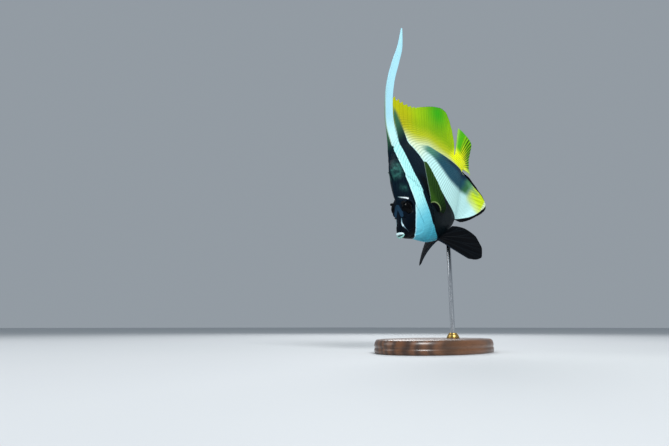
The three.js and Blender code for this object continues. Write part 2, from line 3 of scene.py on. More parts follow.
import bpy
import numpy as np
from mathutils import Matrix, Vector


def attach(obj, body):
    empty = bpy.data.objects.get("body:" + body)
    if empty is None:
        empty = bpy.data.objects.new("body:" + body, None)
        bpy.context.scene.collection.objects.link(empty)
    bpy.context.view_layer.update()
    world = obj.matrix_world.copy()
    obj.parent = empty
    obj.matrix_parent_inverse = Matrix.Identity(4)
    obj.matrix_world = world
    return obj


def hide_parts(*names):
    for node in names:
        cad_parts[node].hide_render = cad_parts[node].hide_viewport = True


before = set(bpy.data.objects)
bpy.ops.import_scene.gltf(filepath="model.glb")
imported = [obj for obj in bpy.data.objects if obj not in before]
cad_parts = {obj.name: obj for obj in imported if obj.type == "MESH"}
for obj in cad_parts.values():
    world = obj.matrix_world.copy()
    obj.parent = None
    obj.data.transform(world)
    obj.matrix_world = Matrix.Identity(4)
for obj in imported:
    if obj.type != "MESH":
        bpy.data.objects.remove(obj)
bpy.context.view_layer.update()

# Driving dimensions, shared with the solids. Shapes of the fish are in shares of the standard length, x back
# from the snout tip, y to the fish's right and z up towards the back.
LENGTH = 0.165
MM = 0.001 / LENGTH
PITCH = math.radians(41.6)
MOUTH_PLACE = np.array([-0.058, 0.0, 0.120])
LEFT, RIGHT = -1, 1
SIDES = {"left": LEFT, "right": RIGHT}

# Stations from the snout to the tail base: back x, z, belly x, z, half width, height of the widest place,
# and how pinched the back and belly are.
STATIONS = np.array([
    [0.022, 0.01, 0.025, -0.032, 0.026, 0.5, 1, 1],
    [0.047, 0.04, 0.044, -0.054, 0.036, 0.5, 1, 1],
    [0.08, 0.076, 0.074, -0.078, 0.043, 0.5, 1, 1],
    [0.112, 0.122, 0.11, -0.105, 0.05, 0.52, 1.2, 1.05],
    [0.147, 0.2, 0.154, -0.149, 0.06, 0.52, 1.7, 1.1],
    [0.186, 0.281, 0.208, -0.197, 0.073, 0.49, 1.9, 1.1],
    [0.226, 0.365, 0.27, -0.235, 0.086, 0.46, 1.75, 1.1],
    [0.3, 0.424, 0.352, -0.267, 0.094, 0.45, 1.6, 1.1],
    [0.4, 0.447, 0.455, -0.284, 0.093, 0.45, 1.5, 1.15],
    [0.51, 0.418, 0.56, -0.289, 0.085, 0.46, 1.45, 1.25],
    [0.62, 0.35, 0.66, -0.259, 0.073, 0.48, 1.4, 1.3],
    [0.73, 0.262, 0.76, -0.2, 0.059, 0.49, 1.35, 1.3],
    [0.84, 0.165, 0.86, -0.133, 0.043, 0.5, 1.2, 1.2],
    [0.93, 0.09, 0.935, -0.085, 0.03, 0.5, 1.1, 1.1],
    [1, 0.066, 1, -0.068, 0.02, 0.5, 1, 1],
])
LAST = len(STATIONS) - 1


# Curves and small numeric helpers

def spline(points, t):
    """Points of a uniform Catmull-Rom curve through the given ones, for t from 0 to 1."""
    points = np.asarray(points, float)
    last = len(points) - 1
    along = np.clip(np.asarray(t, float), 0, 1) * last
    i = np.minimum(along.astype(int), last - 1)
    w = (along - i)[..., None]
    before, start, end, after = (points[np.clip(i + k, 0, last)] for k in (-1, 0, 1, 2))
    v0, v1 = (end - before) / 2, (after - start) / 2
    cubic, square = 2 * start - 2 * end + v0 + v1, 3 * end - 3 * start - 2 * v0 - v1
    return cubic * w**3 + square * w**2 + v0 * w + start


def smooth(low, high, value):
    w = np.clip((value - low) / (high - low), 0, 1)
    return w * w * (3 - 2 * w)


def hump(distance, width):
    return np.exp(-((distance / width) ** 2))


def blend(a, b, w):
    return a + (b - a) * w


def tone(code):
    """A colour written as six hex digits, as linear light."""
    part = np.array([int(code[i:i + 2], 16) / 255 for i in (0, 2, 4)])
    return np.where(part <= 0.04045, part / 12.92, ((part + 0.055) / 1.055) ** 2.4)


def wash(colour, *layers):
    """A colour with others laid over it in turn, each by a share for every point. Colours may be six hex
    digits, and a list of three factors darkens what lies below it."""
    colour = tone(colour) if isinstance(colour, str) else colour
    for over, share in layers:
        if isinstance(over, str):
            over = tone(over)
        elif isinstance(over, list):
            over = colour * over
        colour = blend(colour, over, np.asarray(share)[..., None])
    return colour


def nearest_on(line, places):
    """Distance of places, given as one array for each axis, from a line, which of its segments is nearest
    and how far along that segment."""
    gap = np.full(places[0].shape, np.inf)
    segment, along = np.zeros(gap.shape, int), np.zeros(gap.shape)
    for i, (start, way) in enumerate(zip(line, np.diff(line, axis=0))):
        off = [place - a for place, a in zip(places, start)]
        w = np.clip(sum(o * d for o, d in zip(off, way)) / (way @ way), 0, 1)
        here = sum((o - w * d) ** 2 for o, d in zip(off, way))
        closer = here < gap
        for kept, new in ((gap, here), (segment, i), (along, w)):
            np.copyto(kept, new, where=closer)
    return np.sqrt(gap), segment, along


def past(line, x, z):
    """How far a place is past a line drawn from its first to its last point, in mm: above 0 on its left."""
    line = spline(line, np.linspace(0, 1, 8 * len(line)))
    before, after = (line[i] + 9 * (line[i] - line[j]) for i, j in ((0, 1), (-1, -2)))
    line = np.vstack([before, line, after])
    gap, segment, _ = nearest_on(line, np.array([x, z]))
    start, way = line[segment], np.diff(line, axis=0)[segment]
    side = way[..., 0] * (z - start[..., 1]) - way[..., 1] * (x - start[..., 0])
    return gap * np.sign(side) / MM


def reach_to(line, points):
    """Distance in mm from points on either side of the fish to a line in space drawn on its right side, and
    where along that line it is, from 0 to 1."""
    line = spline(line, np.linspace(0, 1, 6 * len(line)))
    x, y, z = np.moveaxis(points, -1, 0)
    gap, segment, along = nearest_on(line, np.array([x, np.abs(y), z]))
    return gap / MM, (segment + along) / (len(line) - 1)


def to_world(points):
    """Places of the fish's own frame in the scene, in metres."""
    x, y, z = np.moveaxis(points, -1, 0) * LENGTH
    turned = [x * math.cos(PITCH) - z * math.sin(PITCH), y, x * math.sin(PITCH) + z * math.cos(PITCH)]
    return np.stack(turned, -1) + MOUTH_PLACE


# Meshes

def put_in_scene(name, data):
    made = bpy.data.objects.new(name, data)
    bpy.context.scene.collection.objects.link(made)
    return made


def finish_mesh(name, points, faces, paint, material, nodes):
    """An object from points in the scene, with its colours, riding on the part in place of its solids."""
    mesh = bpy.data.meshes.new(name)
    mesh.from_pydata(points.reshape(-1, 3).tolist(), [], faces)
    mesh.polygons.foreach_set("use_smooth", [True] * len(mesh.polygons))
    for key, values in paint.items():
        values = np.asarray(values, float)
        coloured = values.size == 3 * len(mesh.vertices)
        attribute = mesh.attributes.new(key, "FLOAT_VECTOR" if coloured else "FLOAT", "POINT")
        attribute.data.foreach_set("vector" if coloured else "value", values.ravel())
    mesh.materials.append(material)
    made = put_in_scene(name, mesh)
    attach(made, "root")
    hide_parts(*nodes)


def tube_faces(rings, around, start=0):
    """Quads between rings of points that close on themselves."""
    i, j = np.meshgrid(np.arange(rings - 1), np.arange(around), indexing="ij")
    k = (j + 1) % around
    quads = np.stack([i * around + j, i * around + k, (i + 1) * around + k, (i + 1) * around + j], -1)
    return (quads.reshape(-1, 4) + start).tolist()


def sheet_faces(rows, columns, start=0, flip=False):
    i, j = np.meshgrid(np.arange(rows - 1), np.arange(columns - 1), indexing="ij")
    a = i * columns + j
    quads = np.stack([a, a + 1, a + columns + 1, a + columns], -1).reshape(-1, 4)
    return ((quads[:, ::-1] if flip else quads) + start).tolist()


# Markings, drawn as lines in the fish's x and z
NAPE_EDGE = [  # behind the black mask and nape, where the first white band starts
    [0.368, 0.62], [0.366, 0.536], [0.364, 0.486], [0.352, 0.438], [0.316, 0.372], [0.283, 0.288],
    [0.261, 0.236], [0.241, 0.189], [0.218, 0.108], [0.204, 0.078], [0.171, 0.034], [0.137, -0.019],
    [0.112, -0.07], [0.103, -0.1], [0.1, -0.14],
]
DARK_FRONT = [  # between the first white band and the black band behind it
    [0.6, 0.74], [0.55, 0.66], [0.51, 0.6], [0.478, 0.53], [0.453, 0.472], [0.424, 0.42], [0.398, 0.374],
    [0.366, 0.3], [0.347, 0.243], [0.339, 0.199], [0.328, 0.146], [0.314, 0.099], [0.299, 0.049],
    [0.291, -0.007], [0.283, -0.076], [0.282, -0.115], [0.286, -0.175], [0.305, -0.236], [0.33, -0.3],
]
DARK_REAR = [  # between that black band and the second white band
    [0.62, 0.76], [0.592, 0.68], [0.574, 0.6], [0.558, 0.51], [0.54, 0.44], [0.524, 0.395], [0.518, 0.35],
    [0.513, 0.295], [0.505, 0.237], [0.503, 0.189], [0.503, 0.135], [0.505, 0.068], [0.513, -0.017],
    [0.528, -0.083], [0.556, -0.158], [0.579, -0.216], [0.597, -0.258], [0.62, -0.3], [0.63, -0.34],
]
GREY_FRONT = [  # soft front edge of the grey band that runs into the anal fin
    [0.58, 0.38], [0.6, 0.33], [0.622, 0.285], [0.645, 0.235], [0.656, 0.18], [0.664, 0.12], [0.675, 0.055],
    [0.692, 0.0], [0.722, -0.05], [0.762, -0.1], [0.812, -0.145], [0.862, -0.195], [0.9, -0.25],
]
GOLD_EDGE = [  # from the black band's top down behind the grey band: yellow lies past it
    [0.5, 0.52], [0.54, 0.45], [0.58, 0.39], [0.63, 0.342], [0.68, 0.308], [0.735, 0.27], [0.785, 0.2],
    [0.828, 0.13], [0.872, 0.06], [0.922, -0.015], [0.968, -0.085], [1.02, -0.15],
]
ANAL_LOWER = [  # inside the anal fin's black lower margin
    [0.58, -0.25], [0.64, -0.291], [0.7, -0.325], [0.8, -0.377], [0.9, -0.414], [1.0, -0.438],
    [1.05, -0.446], [1.1, -0.437], [1.16, -0.4],
]
ANAL_REAR = [  # inside its black rear margin
    [0.925, -0.02], [0.958, -0.07], [0.98, -0.1], [1.004, -0.15], [1.023, -0.205], [1.045, -0.262],
    [1.066, -0.312], [1.084, -0.362], [1.093, -0.41], [1.1, -0.46],
]

WHITE = tone("ccfaf9")
FIRST_WHITE = tone("b6f9fa")
WARM_WHITE = tone("e4f5d6")
# Painted shade of the first white band, darker and bluer low on the body and throat as if lit from above
SHADED_WHITE = tone("5bc4de")
THROAT_SHADE = tone("3a9cb4")
PALE_GOLD = tone("dbe288")
GOLD = tone("c6cf26")
OLIVE = tone("9dc012")
MUSTARD = tone("b9ab10")
LEMON = tone("f8ff1c")
GREEN = tone("2fa516")
DEEP_GREEN = tone("1c5c26")
SLATE = tone("1f4f63")
SEA_GREY = tone("4f8c7a")
NAVY = tone("04121f")
INK = tone("010307")
MOSS = tone("3a684a")
EYE = {"x": 0.154, "z": 0.106, "radius": 0.043, "depth": 0.026, "reach": 0.07}

# Scales: length and height in mm, and the height of the middle row from the snout to past the tail base
SCALE = {
    "long": 2.4, "tall": 3.3, "tall_on_head": 1.2, "axis_end": 1.3,
    "axis": [[-0.03], [0.01], [0.07], [0.08], [0.03], [0.0], [0.0]],
}


def scale_place(x, z):
    """Rank and row of the scale at a place, counted back from the snout and up from the axis."""
    axis = spline(SCALE["axis"], x / SCALE["axis_end"])[..., 0]
    tall = blend(SCALE["tall_on_head"], SCALE["tall"], smooth(0.08, 0.36, x))
    tall = tall * blend(1, 0.55, smooth(0.5, 1.0, x))
    rank = x / (SCALE["long"] * MM) + 9 * smooth(0.55, 1.1, x) + 12 * smooth(0.34, 0.05, x)
    return rank, (z - axis) / (tall * MM)


def flank_paint(x, z):
    """Colours of the body and of the fins that stand on its back and belly, the same in both."""
    front, rear = past(DARK_FRONT, x, z), past(DARK_REAR, x, z)
    gold, grey_front = past(GOLD_EDGE, x, z), past(GREY_FRONT, x, z)
    green = np.exp(-(((x - 1.03) / 0.17) ** 2) - ((z - 0.41) / 0.15) ** 2)
    yellow = wash(
        PALE_GOLD,
        (GOLD, smooth(2, 13, gold)),
        (OLIVE, smooth(11, 26, gold)),
        (MUSTARD, 0.65 * smooth(0.4, 0.56, z) * smooth(0.82, 0.64, x)),
        (GREEN, 0.95 * green),
        (LEMON, smooth(0.85, 0.93, x) * smooth(0.13, 0.07, z)),
    )
    grey = wash(
        SEA_GREY,
        (SLATE, smooth(0.26, 0.14, z)),
        ("102b42", smooth(-11, -2, gold) * smooth(0.2, 0.06, z)),
        ("3c7446", smooth(-0.13, -0.21, z)),
    )
    band = smooth(-4.5, 4, grey_front) * smooth(0.9, -0.9, gold)
    tip = smooth(0.83, 1.01, x + 0.25 * (z + 0.34)) * smooth(-0.2, -0.29, z)
    pale = wash(
        FIRST_WHITE,
        (WHITE, smooth(0.4, 0.5, x)),
        (WARM_WHITE, smooth(0.2, 0.36, z) * smooth(0, 3, rear)),
        (yellow, blend(smooth(-0.8, 0.8, gold), smooth(-5, 7, gold), smooth(0.2, 0.34, z))),
        ("d6ee8c", smooth(0, 0.5, tip)),
        ("d2ec24", smooth(0.45, 1, tip)),
        ("e2f6cc", smooth(-0.415, -0.44, z - 0.12 * (x - 1.0)) * smooth(0.8, 1.0, x)),
        (grey, band * smooth(0.345, 0.265, z) * smooth(-0.285, -0.2, z)),
    )
    black = np.minimum(front, -rear) - 5 * smooth(0.6, 0.7, z)
    margin = np.maximum(-past(ANAL_LOWER, x, z), np.minimum(past(ANAL_REAR, x, z), (-0.078 - z) / MM))
    ink = np.maximum(black, np.where(x > 0.55, margin, -99))
    ink = np.maximum(ink, np.where(x < 0.45, -past(NAPE_EDGE, x, z), -99))
    dark = wash(INK, (NAVY, smooth(-0.1, 0.2, z)), (MOSS, smooth(0.43, 0.58, z)))
    return {"pale": pale, "dark": dark, "ink": ink, "soft": 0.35 + 3.2 * smooth(0.42, 0.58, z)}


# Node materials

class Graph:
    """A Principled material whose nodes are added by short calls."""

    def __init__(self, name):
        self.material = bpy.data.materials.new(name)
        self.material.use_nodes = True
        self.nodes = self.material.node_tree.nodes
        self.links = self.material.node_tree.links
        self.shader = self.nodes["Principled BSDF"]

    def put(self, socket, value):
        """Sets a socket from another node's output, a number, a vector or a colour's six hex digits."""
        if isinstance(value, bpy.types.NodeSocket):
            self.links.new(value, socket)
            return
        if isinstance(value, str):
            value = tone(value)
        if hasattr(value, "__len__"):
            value = [*value, 1][:len(socket.default_value)]
        socket.default_value = value

    def math(self, operation, *values):
        node = self.nodes.new("ShaderNodeMath")
        node.operation = operation
        for socket, value in zip(node.inputs, values):
            self.put(socket, value)
        return node.outputs[0]

    def times(self, a, b):
        return self.math("MULTIPLY", a, b)

    def plus(self, a, b):
        return self.math("ADD", a, b)

    def minus(self, a, b):
        return self.math("SUBTRACT", a, b)

    def ease(self, value, low, high, to_low=0.0, to_high=1.0):
        node = self.nodes.new("ShaderNodeMapRange")
        node.interpolation_type = "SMOOTHSTEP"
        for socket, given in zip(node.inputs, (value, low, high, to_low, to_high)):
            self.put(socket, given)
        return node.outputs[0]

    def mix(self, factor, a, b, kind="MIX"):
        node = self.nodes.new("ShaderNodeMix")
        node.data_type = "RGBA"
        node.blend_type = kind
        self.put(node.inputs[0], factor)
        self.put(node.inputs[6], a)
        self.put(node.inputs[7], b)
        return node.outputs[2]

    def read(self, name, output="Fac"):
        node = self.nodes.new("ShaderNodeAttribute")
        node.attribute_name = name
        return node.outputs[output]

    def shade(self, factor, colour, by):
        """A colour multiplied by another to the share that factor gives."""
        return self.mix(factor, colour, self.mix(1.0, colour, by, "MULTIPLY"))

    def place(self):
        return self.nodes.new("ShaderNodeTexCoord").outputs["Object"]

    def stretch(self, vector, scale):
        node = self.nodes.new("ShaderNodeMapping")
        self.put(node.inputs["Vector"], vector)
        node.inputs["Scale"].default_value = scale
        return node.outputs[0]

    def noise(self, vector, scale, detail, rough=0.55):
        node = self.nodes.new("ShaderNodeTexNoise")
        self.put(node.inputs["Vector"], vector)
        for key, value in (("Scale", scale), ("Detail", detail), ("Roughness", rough)):
            node.inputs[key].default_value = value
        return node.outputs["Fac"]

    def bump(self, height, distance, strength, normal=None):
        node = self.nodes.new("ShaderNodeBump")
        node.inputs["Strength"].default_value = strength
        node.inputs["Distance"].default_value = distance
        self.put(node.inputs["Height"], height)
        if normal:
            self.put(node.inputs["Normal"], normal)
        return node.outputs[0]

    def set(self, **values):
        for key, value in values.items():
            self.put(self.shader.inputs[key.replace("_", " ")], value)


def scale_nodes(g, rank, row):
    """Height of the uppermost scale at a place, how near its edge is, and how near the line between rows."""
    column = g.math("PINGPONG", row, 1.0)
    next_column = g.minus(1.0, column)
    even = g.math("FRACT", g.plus(rank, g.times(g.times(column, column), 0.5)))
    odd = g.math("FRACT", g.plus(rank, g.plus(0.5, g.times(g.times(next_column, next_column), 0.5))))
    edge = g.ease(g.math("MINIMUM", even, odd), 0.0, 0.16, 1.0, 0.0)
    between = g.ease(g.math("ABSOLUTE", g.minus(column, 0.5)), 0.03, 0.4, 1.0, 0.0)
    return g.math("MAXIMUM", even, odd), edge, between


def fish_material(name, roughness, coat):
    """Skin and fins: pale colour, black where ink is above 0, thin marks, scales and fin rays."""
    g = Graph(name)
    place = g.place()
    scaly, ray, soft = (g.read(key) for key in ("scaly", "ray", "soft"))
    blotch = g.noise(place, 70, 4, 0.6)
    wander = g.times(g.minus(g.noise(place, 260, 2), 0.5), 0.8)
    rank = g.plus(g.read("rank"), wander)
    row = g.plus(g.read("row"), g.times(g.minus(blotch, 0.5), 0.3))
    height, edge, between = scale_nodes(g, rank, row)
    pale = g.shade(g.times(g.times(edge, scaly), 0.3), g.read("pale", "Color"), (0.4, 0.48, 0.46))
    pale = g.shade(g.times(g.times(between, scaly), 0.5), pale, (0.4, 0.5, 0.46))
    pale = g.shade(g.ease(blotch, 0.35, 0.75, 0.0, 0.16), pale, (0.72, 0.8, 0.74))
    # Painted glint: the tops of the scales lighter and bluer in the dark areas
    dark = g.mix(g.times(g.ease(height, 0.6, 1.0, 0.0, 0.2), scaly), g.read("dark", "Color"), "24434a")
    # Pale green painted glints of the scales on the dark nape, broken up by noise
    broken = g.ease(g.noise(place, 330, 3), 0.34, 0.62, 0.35, 1.0)
    broken = g.times(g.ease(blotch, 0.36, 0.6, 0.3, 1.0), broken)
    dark = g.mix(g.times(broken, g.read("mottle")), dark, "3a756c")
    raggedness = g.times(g.minus(g.noise(place, 900, 2), 0.5), 0.9)
    black = g.ease(g.plus(g.read("ink"), raggedness), g.times(soft, -1.0), soft)
    marked = g.ease(g.plus(g.read("mark"), g.times(raggedness, 0.1)), -0.35, 0.35)
    colour = g.mix(marked, g.mix(black, pale, dark), g.read("mark_tone", "Color"))
    g.set(Base_Color=colour, Roughness=g.ease(blotch, 0.2, 0.8, roughness - 0.06, roughness + 0.08))
    g.set(Metallic=0.0, Specular_IOR_Level=0.05, Coat_Weight=coat, Coat_Roughness=0.25)
    scales = g.bump(g.times(height, scaly), 0.0004, 0.9)
    rays = g.bump(ray, 0.0003, 0.6, scales)
    g.set(Normal=g.bump(g.noise(place, 1600, 2), 0.00006, 0.5, rays))
    return g.material


# Body skin

def skin_points(station, angle):
    station, angle = np.broadcast_arrays(station, angle)
    row = spline(STATIONS, station / LAST)
    top, bottom = row[..., 0:2], row[..., 2:4]
    half, widest, ridge, keel = (row[..., i] for i in range(4, 8))
    c, s = np.cos(angle), np.sin(angle)
    height = np.where(c > 0, widest + (1 - widest) * c, widest + widest * c)
    side = np.sign(s) * half * np.abs(s) ** np.where(c > 0, ridge, keel)
    middle = bottom + (top - bottom) * height[..., None]
    return np.stack([middle[..., 0], side, middle[..., 1]], -1)


def skin_normals(station, angle):
    step = 1e-3
    along = skin_points(station + step, angle) - skin_points(station - step, angle)
    around = skin_points(station, angle + step) - skin_points(station, angle - step)
    normal = np.cross(around, along)
    return normal / np.maximum(np.linalg.norm(normal, axis=-1, keepdims=True), 1e-12)


EYE_SIDE = EYE["reach"] - EYE["depth"]
# Forms of the head: places in shares of the length, sizes in mm
KNOB = {"x": 0.2, "z": 0.302, "y": 0, "flat": 0.9, "spread": 4.6, "stand": 1.7}
BROW = {"x": 0.148, "z": 0.163, "y": 0.046, "flat": 1, "spread": 6.0, "stand": 2.4}
NOSTRIL = {"x": 0.1, "z": 0.07, "rim": 1.2, "rise": 0.25, "deep": 1.2}
ORBIT = {"level": 0.36, "reach": 1.8, "clear": 0.5, "folds": [(1.1, 0.1, 0.4), (1.36, 0.12, 0.25)]}
GILL = {
    "rise": 0.7, "run": 10, "deep": 0.45, "high": (0.33, 0.27), "low": (-0.2, -0.13),
    "edge": [
        [0.252, 0.36], [0.292, 0.24], [0.322, 0.12], [0.33, 0.02], [0.306, -0.08], [0.23, -0.17],
        [0.13, -0.2],
    ],
}
CHEEK = {
    "rise": 0.4, "run": 5, "deep": 0.3, "high": (0.26, 0.2), "low": (-0.13, -0.08),
    "edge": [
        [0.262, 0.24], [0.235, 0.19], [0.212, 0.1], [0.205, 0.0], [0.205, -0.06], [0.175, -0.1],
        [0.12, -0.085],
    ],
}
JAW = {"deep": 0.4, "line": [[0.03, -0.02], [0.06, -0.012], [0.1, -0.02], [0.14, -0.045], [0.17, -0.08]]}
LATERAL = {
    "rise": 0.16,
    "line": [
        [0.3, 0.25], [0.34, 0.315], [0.41, 0.36], [0.5, 0.352], [0.6, 0.3], [0.7, 0.226], [0.79, 0.148],
        [0.86, 0.07], [0.92, 0.015], [0.99, 0.0],
    ],
}


def plate_reach(form, z):
    """Where a bony plate's edge shows, between its upper and its lower end."""
    return smooth(*form["high"], z) * smooth(*form["low"], z)


def plate(form, x, z):
    """A bony plate that rises towards its rear edge, with a groove behind it."""
    gap = past(form["edge"], x, z)
    raised = form["rise"] * smooth(0.0, 0.5, -gap) * smooth(form["run"], 1, -gap)
    return plate_reach(form, z) * (raised - form["deep"] * hump(gap - 0.3, 0.45))


def mound(form, x, y, z):
    """A rounded rise, alike on both sides."""
    sideways = form["flat"] * (np.abs(y) - form["y"])
    apart = np.sqrt((x - form["x"]) ** 2 + (z - form["z"]) ** 2 + sideways**2)
    return form["stand"] * hump(apart / MM, form["spread"])


def eye_socket(moved, y, from_eye):
    """Raises the skin to a rim round the eye and keeps it under the eyeball inside."""
    side, reach = np.sign(y), moved[..., 1]
    rim = EYE_SIDE + ORBIT["level"] * EYE["depth"] + 0.3 * MM * hump(from_eye - 1.1, 0.1)
    near = smooth(ORBIT["reach"], 1.06, from_eye) * smooth(0.004, 0.03, np.abs(y))
    reach = blend(reach, side * np.maximum(np.abs(reach), rim), near)
    ball = EYE_SIDE + EYE["depth"] * np.sqrt(np.clip(1 - from_eye**2, 0, 1))
    under = np.minimum(np.abs(reach), ball - ORBIT["clear"] * MM)
    moved[..., 1] = blend(reach, side * under, smooth(1.04, 0.94, from_eye))
    return moved


def sculpt(points, normals):
    """Moves skin points to shape the orbits, brows, gill covers, nostrils, nape knob and lateral line."""
    x, y, z = np.moveaxis(points, -1, 0)
    lateral = smooth(0.25, 0.7, np.abs(normals[..., 1]))
    lift = mound(KNOB, x, y, z) + mound(BROW, x, y, z)
    lift += lateral * (plate(GILL, x, z) + plate(CHEEK, x, z))
    jaw = hump(past(JAW["line"], x, z), 0.45) * smooth(0.045, 0.06, x) * smooth(0.16, 0.13, x)
    lift -= JAW["deep"] * jaw * lateral
    tubes = 0.6 + 0.4 * np.cos(2 * np.pi * x / (SCALE["long"] * MM))
    tubes = tubes * hump(past(LATERAL["line"], x, z), 0.4)
    lift += LATERAL["rise"] * tubes * smooth(0.36, 0.42, x) * smooth(1.0, 0.97, x) * lateral
    from_nostril = np.hypot(x - NOSTRIL["x"], z - NOSTRIL["z"]) / MM
    rim = NOSTRIL["rise"] * hump(from_nostril - NOSTRIL["rim"], 0.5)
    lift += lateral * (rim - NOSTRIL["deep"] * hump(from_nostril, 0.6))
    from_eye = np.hypot(x - EYE["x"], z - EYE["z"]) / EYE["radius"]
    notches = 1 + 0.04 * np.cos(9 * np.arctan2(z - EYE["z"], x - EYE["x"]))
    for (ring, wide, rise), uneven in zip(ORBIT["folds"], (notches, 1)):
        lift += lateral * rise * hump(from_eye - ring, wide) * uneven
    return eye_socket(points + normals * (lift * MM)[..., None], y, from_eye)


AROUND = 288  # points of a ring
EYE_ANGLE = 1.13  # where the eye lies round the head's rings, from the back down
# First and last station of each stretch of the body, and how many rings it has
RING_STRETCHES = ((0, 2.6, 50), (2.6, 5.6, 150), (5.6, 7, 30), (7, LAST, 96))
MOUTH_RINGS = (  # the mouth's inside: each ring's size as a share of the first one, and how deep it lies
    (0.0, 0.035), (0.16, 0.034), (0.3, 0.026), (0.42, 0.014), (0.5, 0.006), (0.6, -0.002), (0.75, -0.004),
    (0.9, -0.003),
)
TAIL_END = {"rings": 10, "long": 0.075, "thinnest": 0.04}


def body_rings():
    """Rings of the skin: the mouth's inside, the body and the tapering end that the tail fin grows from."""
    even = np.linspace(0, 2 * np.pi, 2001)
    dense = 1 + 1.3 * (hump(even - EYE_ANGLE, 0.42) + hump(2 * np.pi - even - EYE_ANGLE, 0.42))
    passed = np.concatenate([[0], np.cumsum((dense[1:] + dense[:-1]) / 2)])
    angle = np.interp(np.linspace(0, passed[-1], AROUND, endpoint=False), passed, even)
    stations = [np.linspace(a, b, count, endpoint=b == LAST) for a, b, count in RING_STRETCHES]
    stations = np.concatenate(stations)[:, None]
    body = sculpt(skin_points(stations, angle), skin_normals(stations, angle))
    first, last = body[0], body[-1]
    centre = first.mean(0)
    inner = [centre + (first - centre) * size + [deep, 0, 0] for size, deep in MOUTH_RINGS]
    outer = []
    for step in np.arange(1, TAIL_END["rings"] + 1) / TAIL_END["rings"]:
        narrowed = last * [1, max(1 - step**1.3, TAIL_END["thinnest"]), 1 - 0.25 * step**2]
        outer.append(narrowed + [TAIL_END["long"] * step, 0, 0])
    return np.concatenate([inner, body, outer])


# Marks on the head, drawn in space on its right side
LINE_OVER_EYE = [[0.158, 0, 0.19], [0.166, 0, 0.181], [0.175, 0, 0.17], [0.192, 0, 0.15]]
SNOUT_V = [[0.12, 0.004, 0.139], [0.113, 0.012, 0.122], [0.107, 0.019, 0.107], [0.097, 0.025, 0.086]]
V_BLOTCH = [[0.11, 0.026, 0.1], [0.109, 0.033, 0.09]]
SNOUT_STREAK = [[0.083, 0.021, 0.073], [0.064, 0.022, 0.05], [0.056, 0.028, 0.033]]
JAW_STREAK = [[0.056, 0.028, 0.033], [0.055, 0.034, 0.015], [0.062, 0.039, -0.02]]
MARKS = (  # each with its half width in mm and its colour at both ends
    (LINE_OVER_EYE, (0.3, 0.85), ("4d7378", "f0fbff")),
    (SNOUT_V, (2.1, 1.8), ("1c384c", "203d54")),
    (V_BLOTCH, (1.7, 1.4), ("203d54", "1b334a")),
    (SNOUT_STREAK, (0.3, 0.85), ("5f93a8", "d9f4fb")),
    (JAW_STREAK, (0.55, 0.25), ("9fc4d4", "1f3648")),
)
NAPE_GLINTS = [  # pale green painted glints of the scales on the dark nape: x, z, width, height and strength
    [0.262, 0.345, 0.05, 0.032, 0.95], [0.235, 0.31, 0.045, 0.022, 0.9], [0.212, 0.222, 0.016, 0.022, 0.75],
]


def head_marks(points, from_eye):
    """Depth inside the head's marks in mm, above 0 on them, and their colour."""
    x, z = points[..., 0], points[..., 2]
    mark = np.full(x.shape, -9.0)
    mark_tone = np.zeros(points.shape)
    for line, wide, tones in MARKS:
        gap, where = reach_to(line, points * [1, 0, 1] if line is LINE_OVER_EYE else points)
        depth = blend(*wide, where) - gap
        mark_tone = np.where((depth > mark)[..., None], wash(tones[0], (tones[1], where)), mark_tone)
        mark = np.maximum(mark, depth)
    orbit = 0.3 - np.abs(from_eye - 1.2) * EYE["radius"] / MM
    orbit = np.where((x > EYE["x"]) & (z > EYE["z"] - 0.02), orbit, -9)
    mark_tone = np.where((orbit > mark)[..., None], tone("161d28"), mark_tone)
    return np.maximum(mark, orbit), mark_tone


def body_paint(points):
    x, y, z = np.moveaxis(points, -1, 0)
    painted = flank_paint(x, z)
    nape = -past(NAPE_EDGE, x, z)
    groove = hump(past(GILL["edge"], x, z) - 0.35, 0.5) * plate_reach(GILL, z)
    first_band_shade = 0.85 * smooth(0.4, 0.28, x)
    pale = wash(
        painted["pale"],
        # Painted shade in the groove behind the gill cover
        ([0.3, 0.4, 0.45], 0.25 * groove),
        (LEMON, smooth(0.95, 0.985, x) * smooth(-0.1, -0.075, z)),
        # Painted shade: the first white band darker and bluer towards the belly and throat
        (SHADED_WHITE, smooth(0.14, -0.04, z) * first_band_shade),
        (THROAT_SHADE, smooth(-0.04, -0.17, z) * first_band_shade),
        # Painted highlight: the white just behind the nape's edge brighter
        ("f4ffff", 0.35 * hump(-nape - 0.7, 0.7) * smooth(0.5, 0.3, x)),
    )
    from_eye = np.hypot(x - EYE["x"], z - EYE["z"]) / EYE["radius"]
    mark, mark_tone = head_marks(points, from_eye)
    # Painted glints of the scales on the dark nape
    mottle = np.zeros(x.shape)
    for patch_x, patch_z, wide, tall, strong in NAPE_GLINTS:
        glint_depth = strong * np.exp(-(((x - patch_x) / wide) ** 2) - ((z - patch_z) / tall) ** 2)
        mottle = np.maximum(mottle, glint_depth)
    mottle = mottle * smooth(0.3, 2, nape) * smooth(0.002, 0.014, np.abs(y))
    scaly = smooth(0.1, 0.24, x) * smooth(1.0, 1.5, from_eye) * blend(0.5, 1, smooth(0.2, 0.34, x))
    rank, row = scale_place(x, z)
    painted.update(pale=pale, ray=0 * x, mark=mark, mark_tone=mark_tone, mottle=mottle)
    return {**painted, "scaly": scaly, "rank": rank, "row": row}


skin_material = fish_material("bannerfish_skin", 0.42, 0.01)
fin_material = fish_material("bannerfish_fin", 0.46, 0.0)

rings = body_rings()
finish_mesh(
    "body_skin", to_world(rings), tube_faces(len(rings), AROUND), body_paint(rings),
    skin_material, ["head", "torso", "tail_base", "gill_cover_left", "gill_cover_right"],
)


# Fins

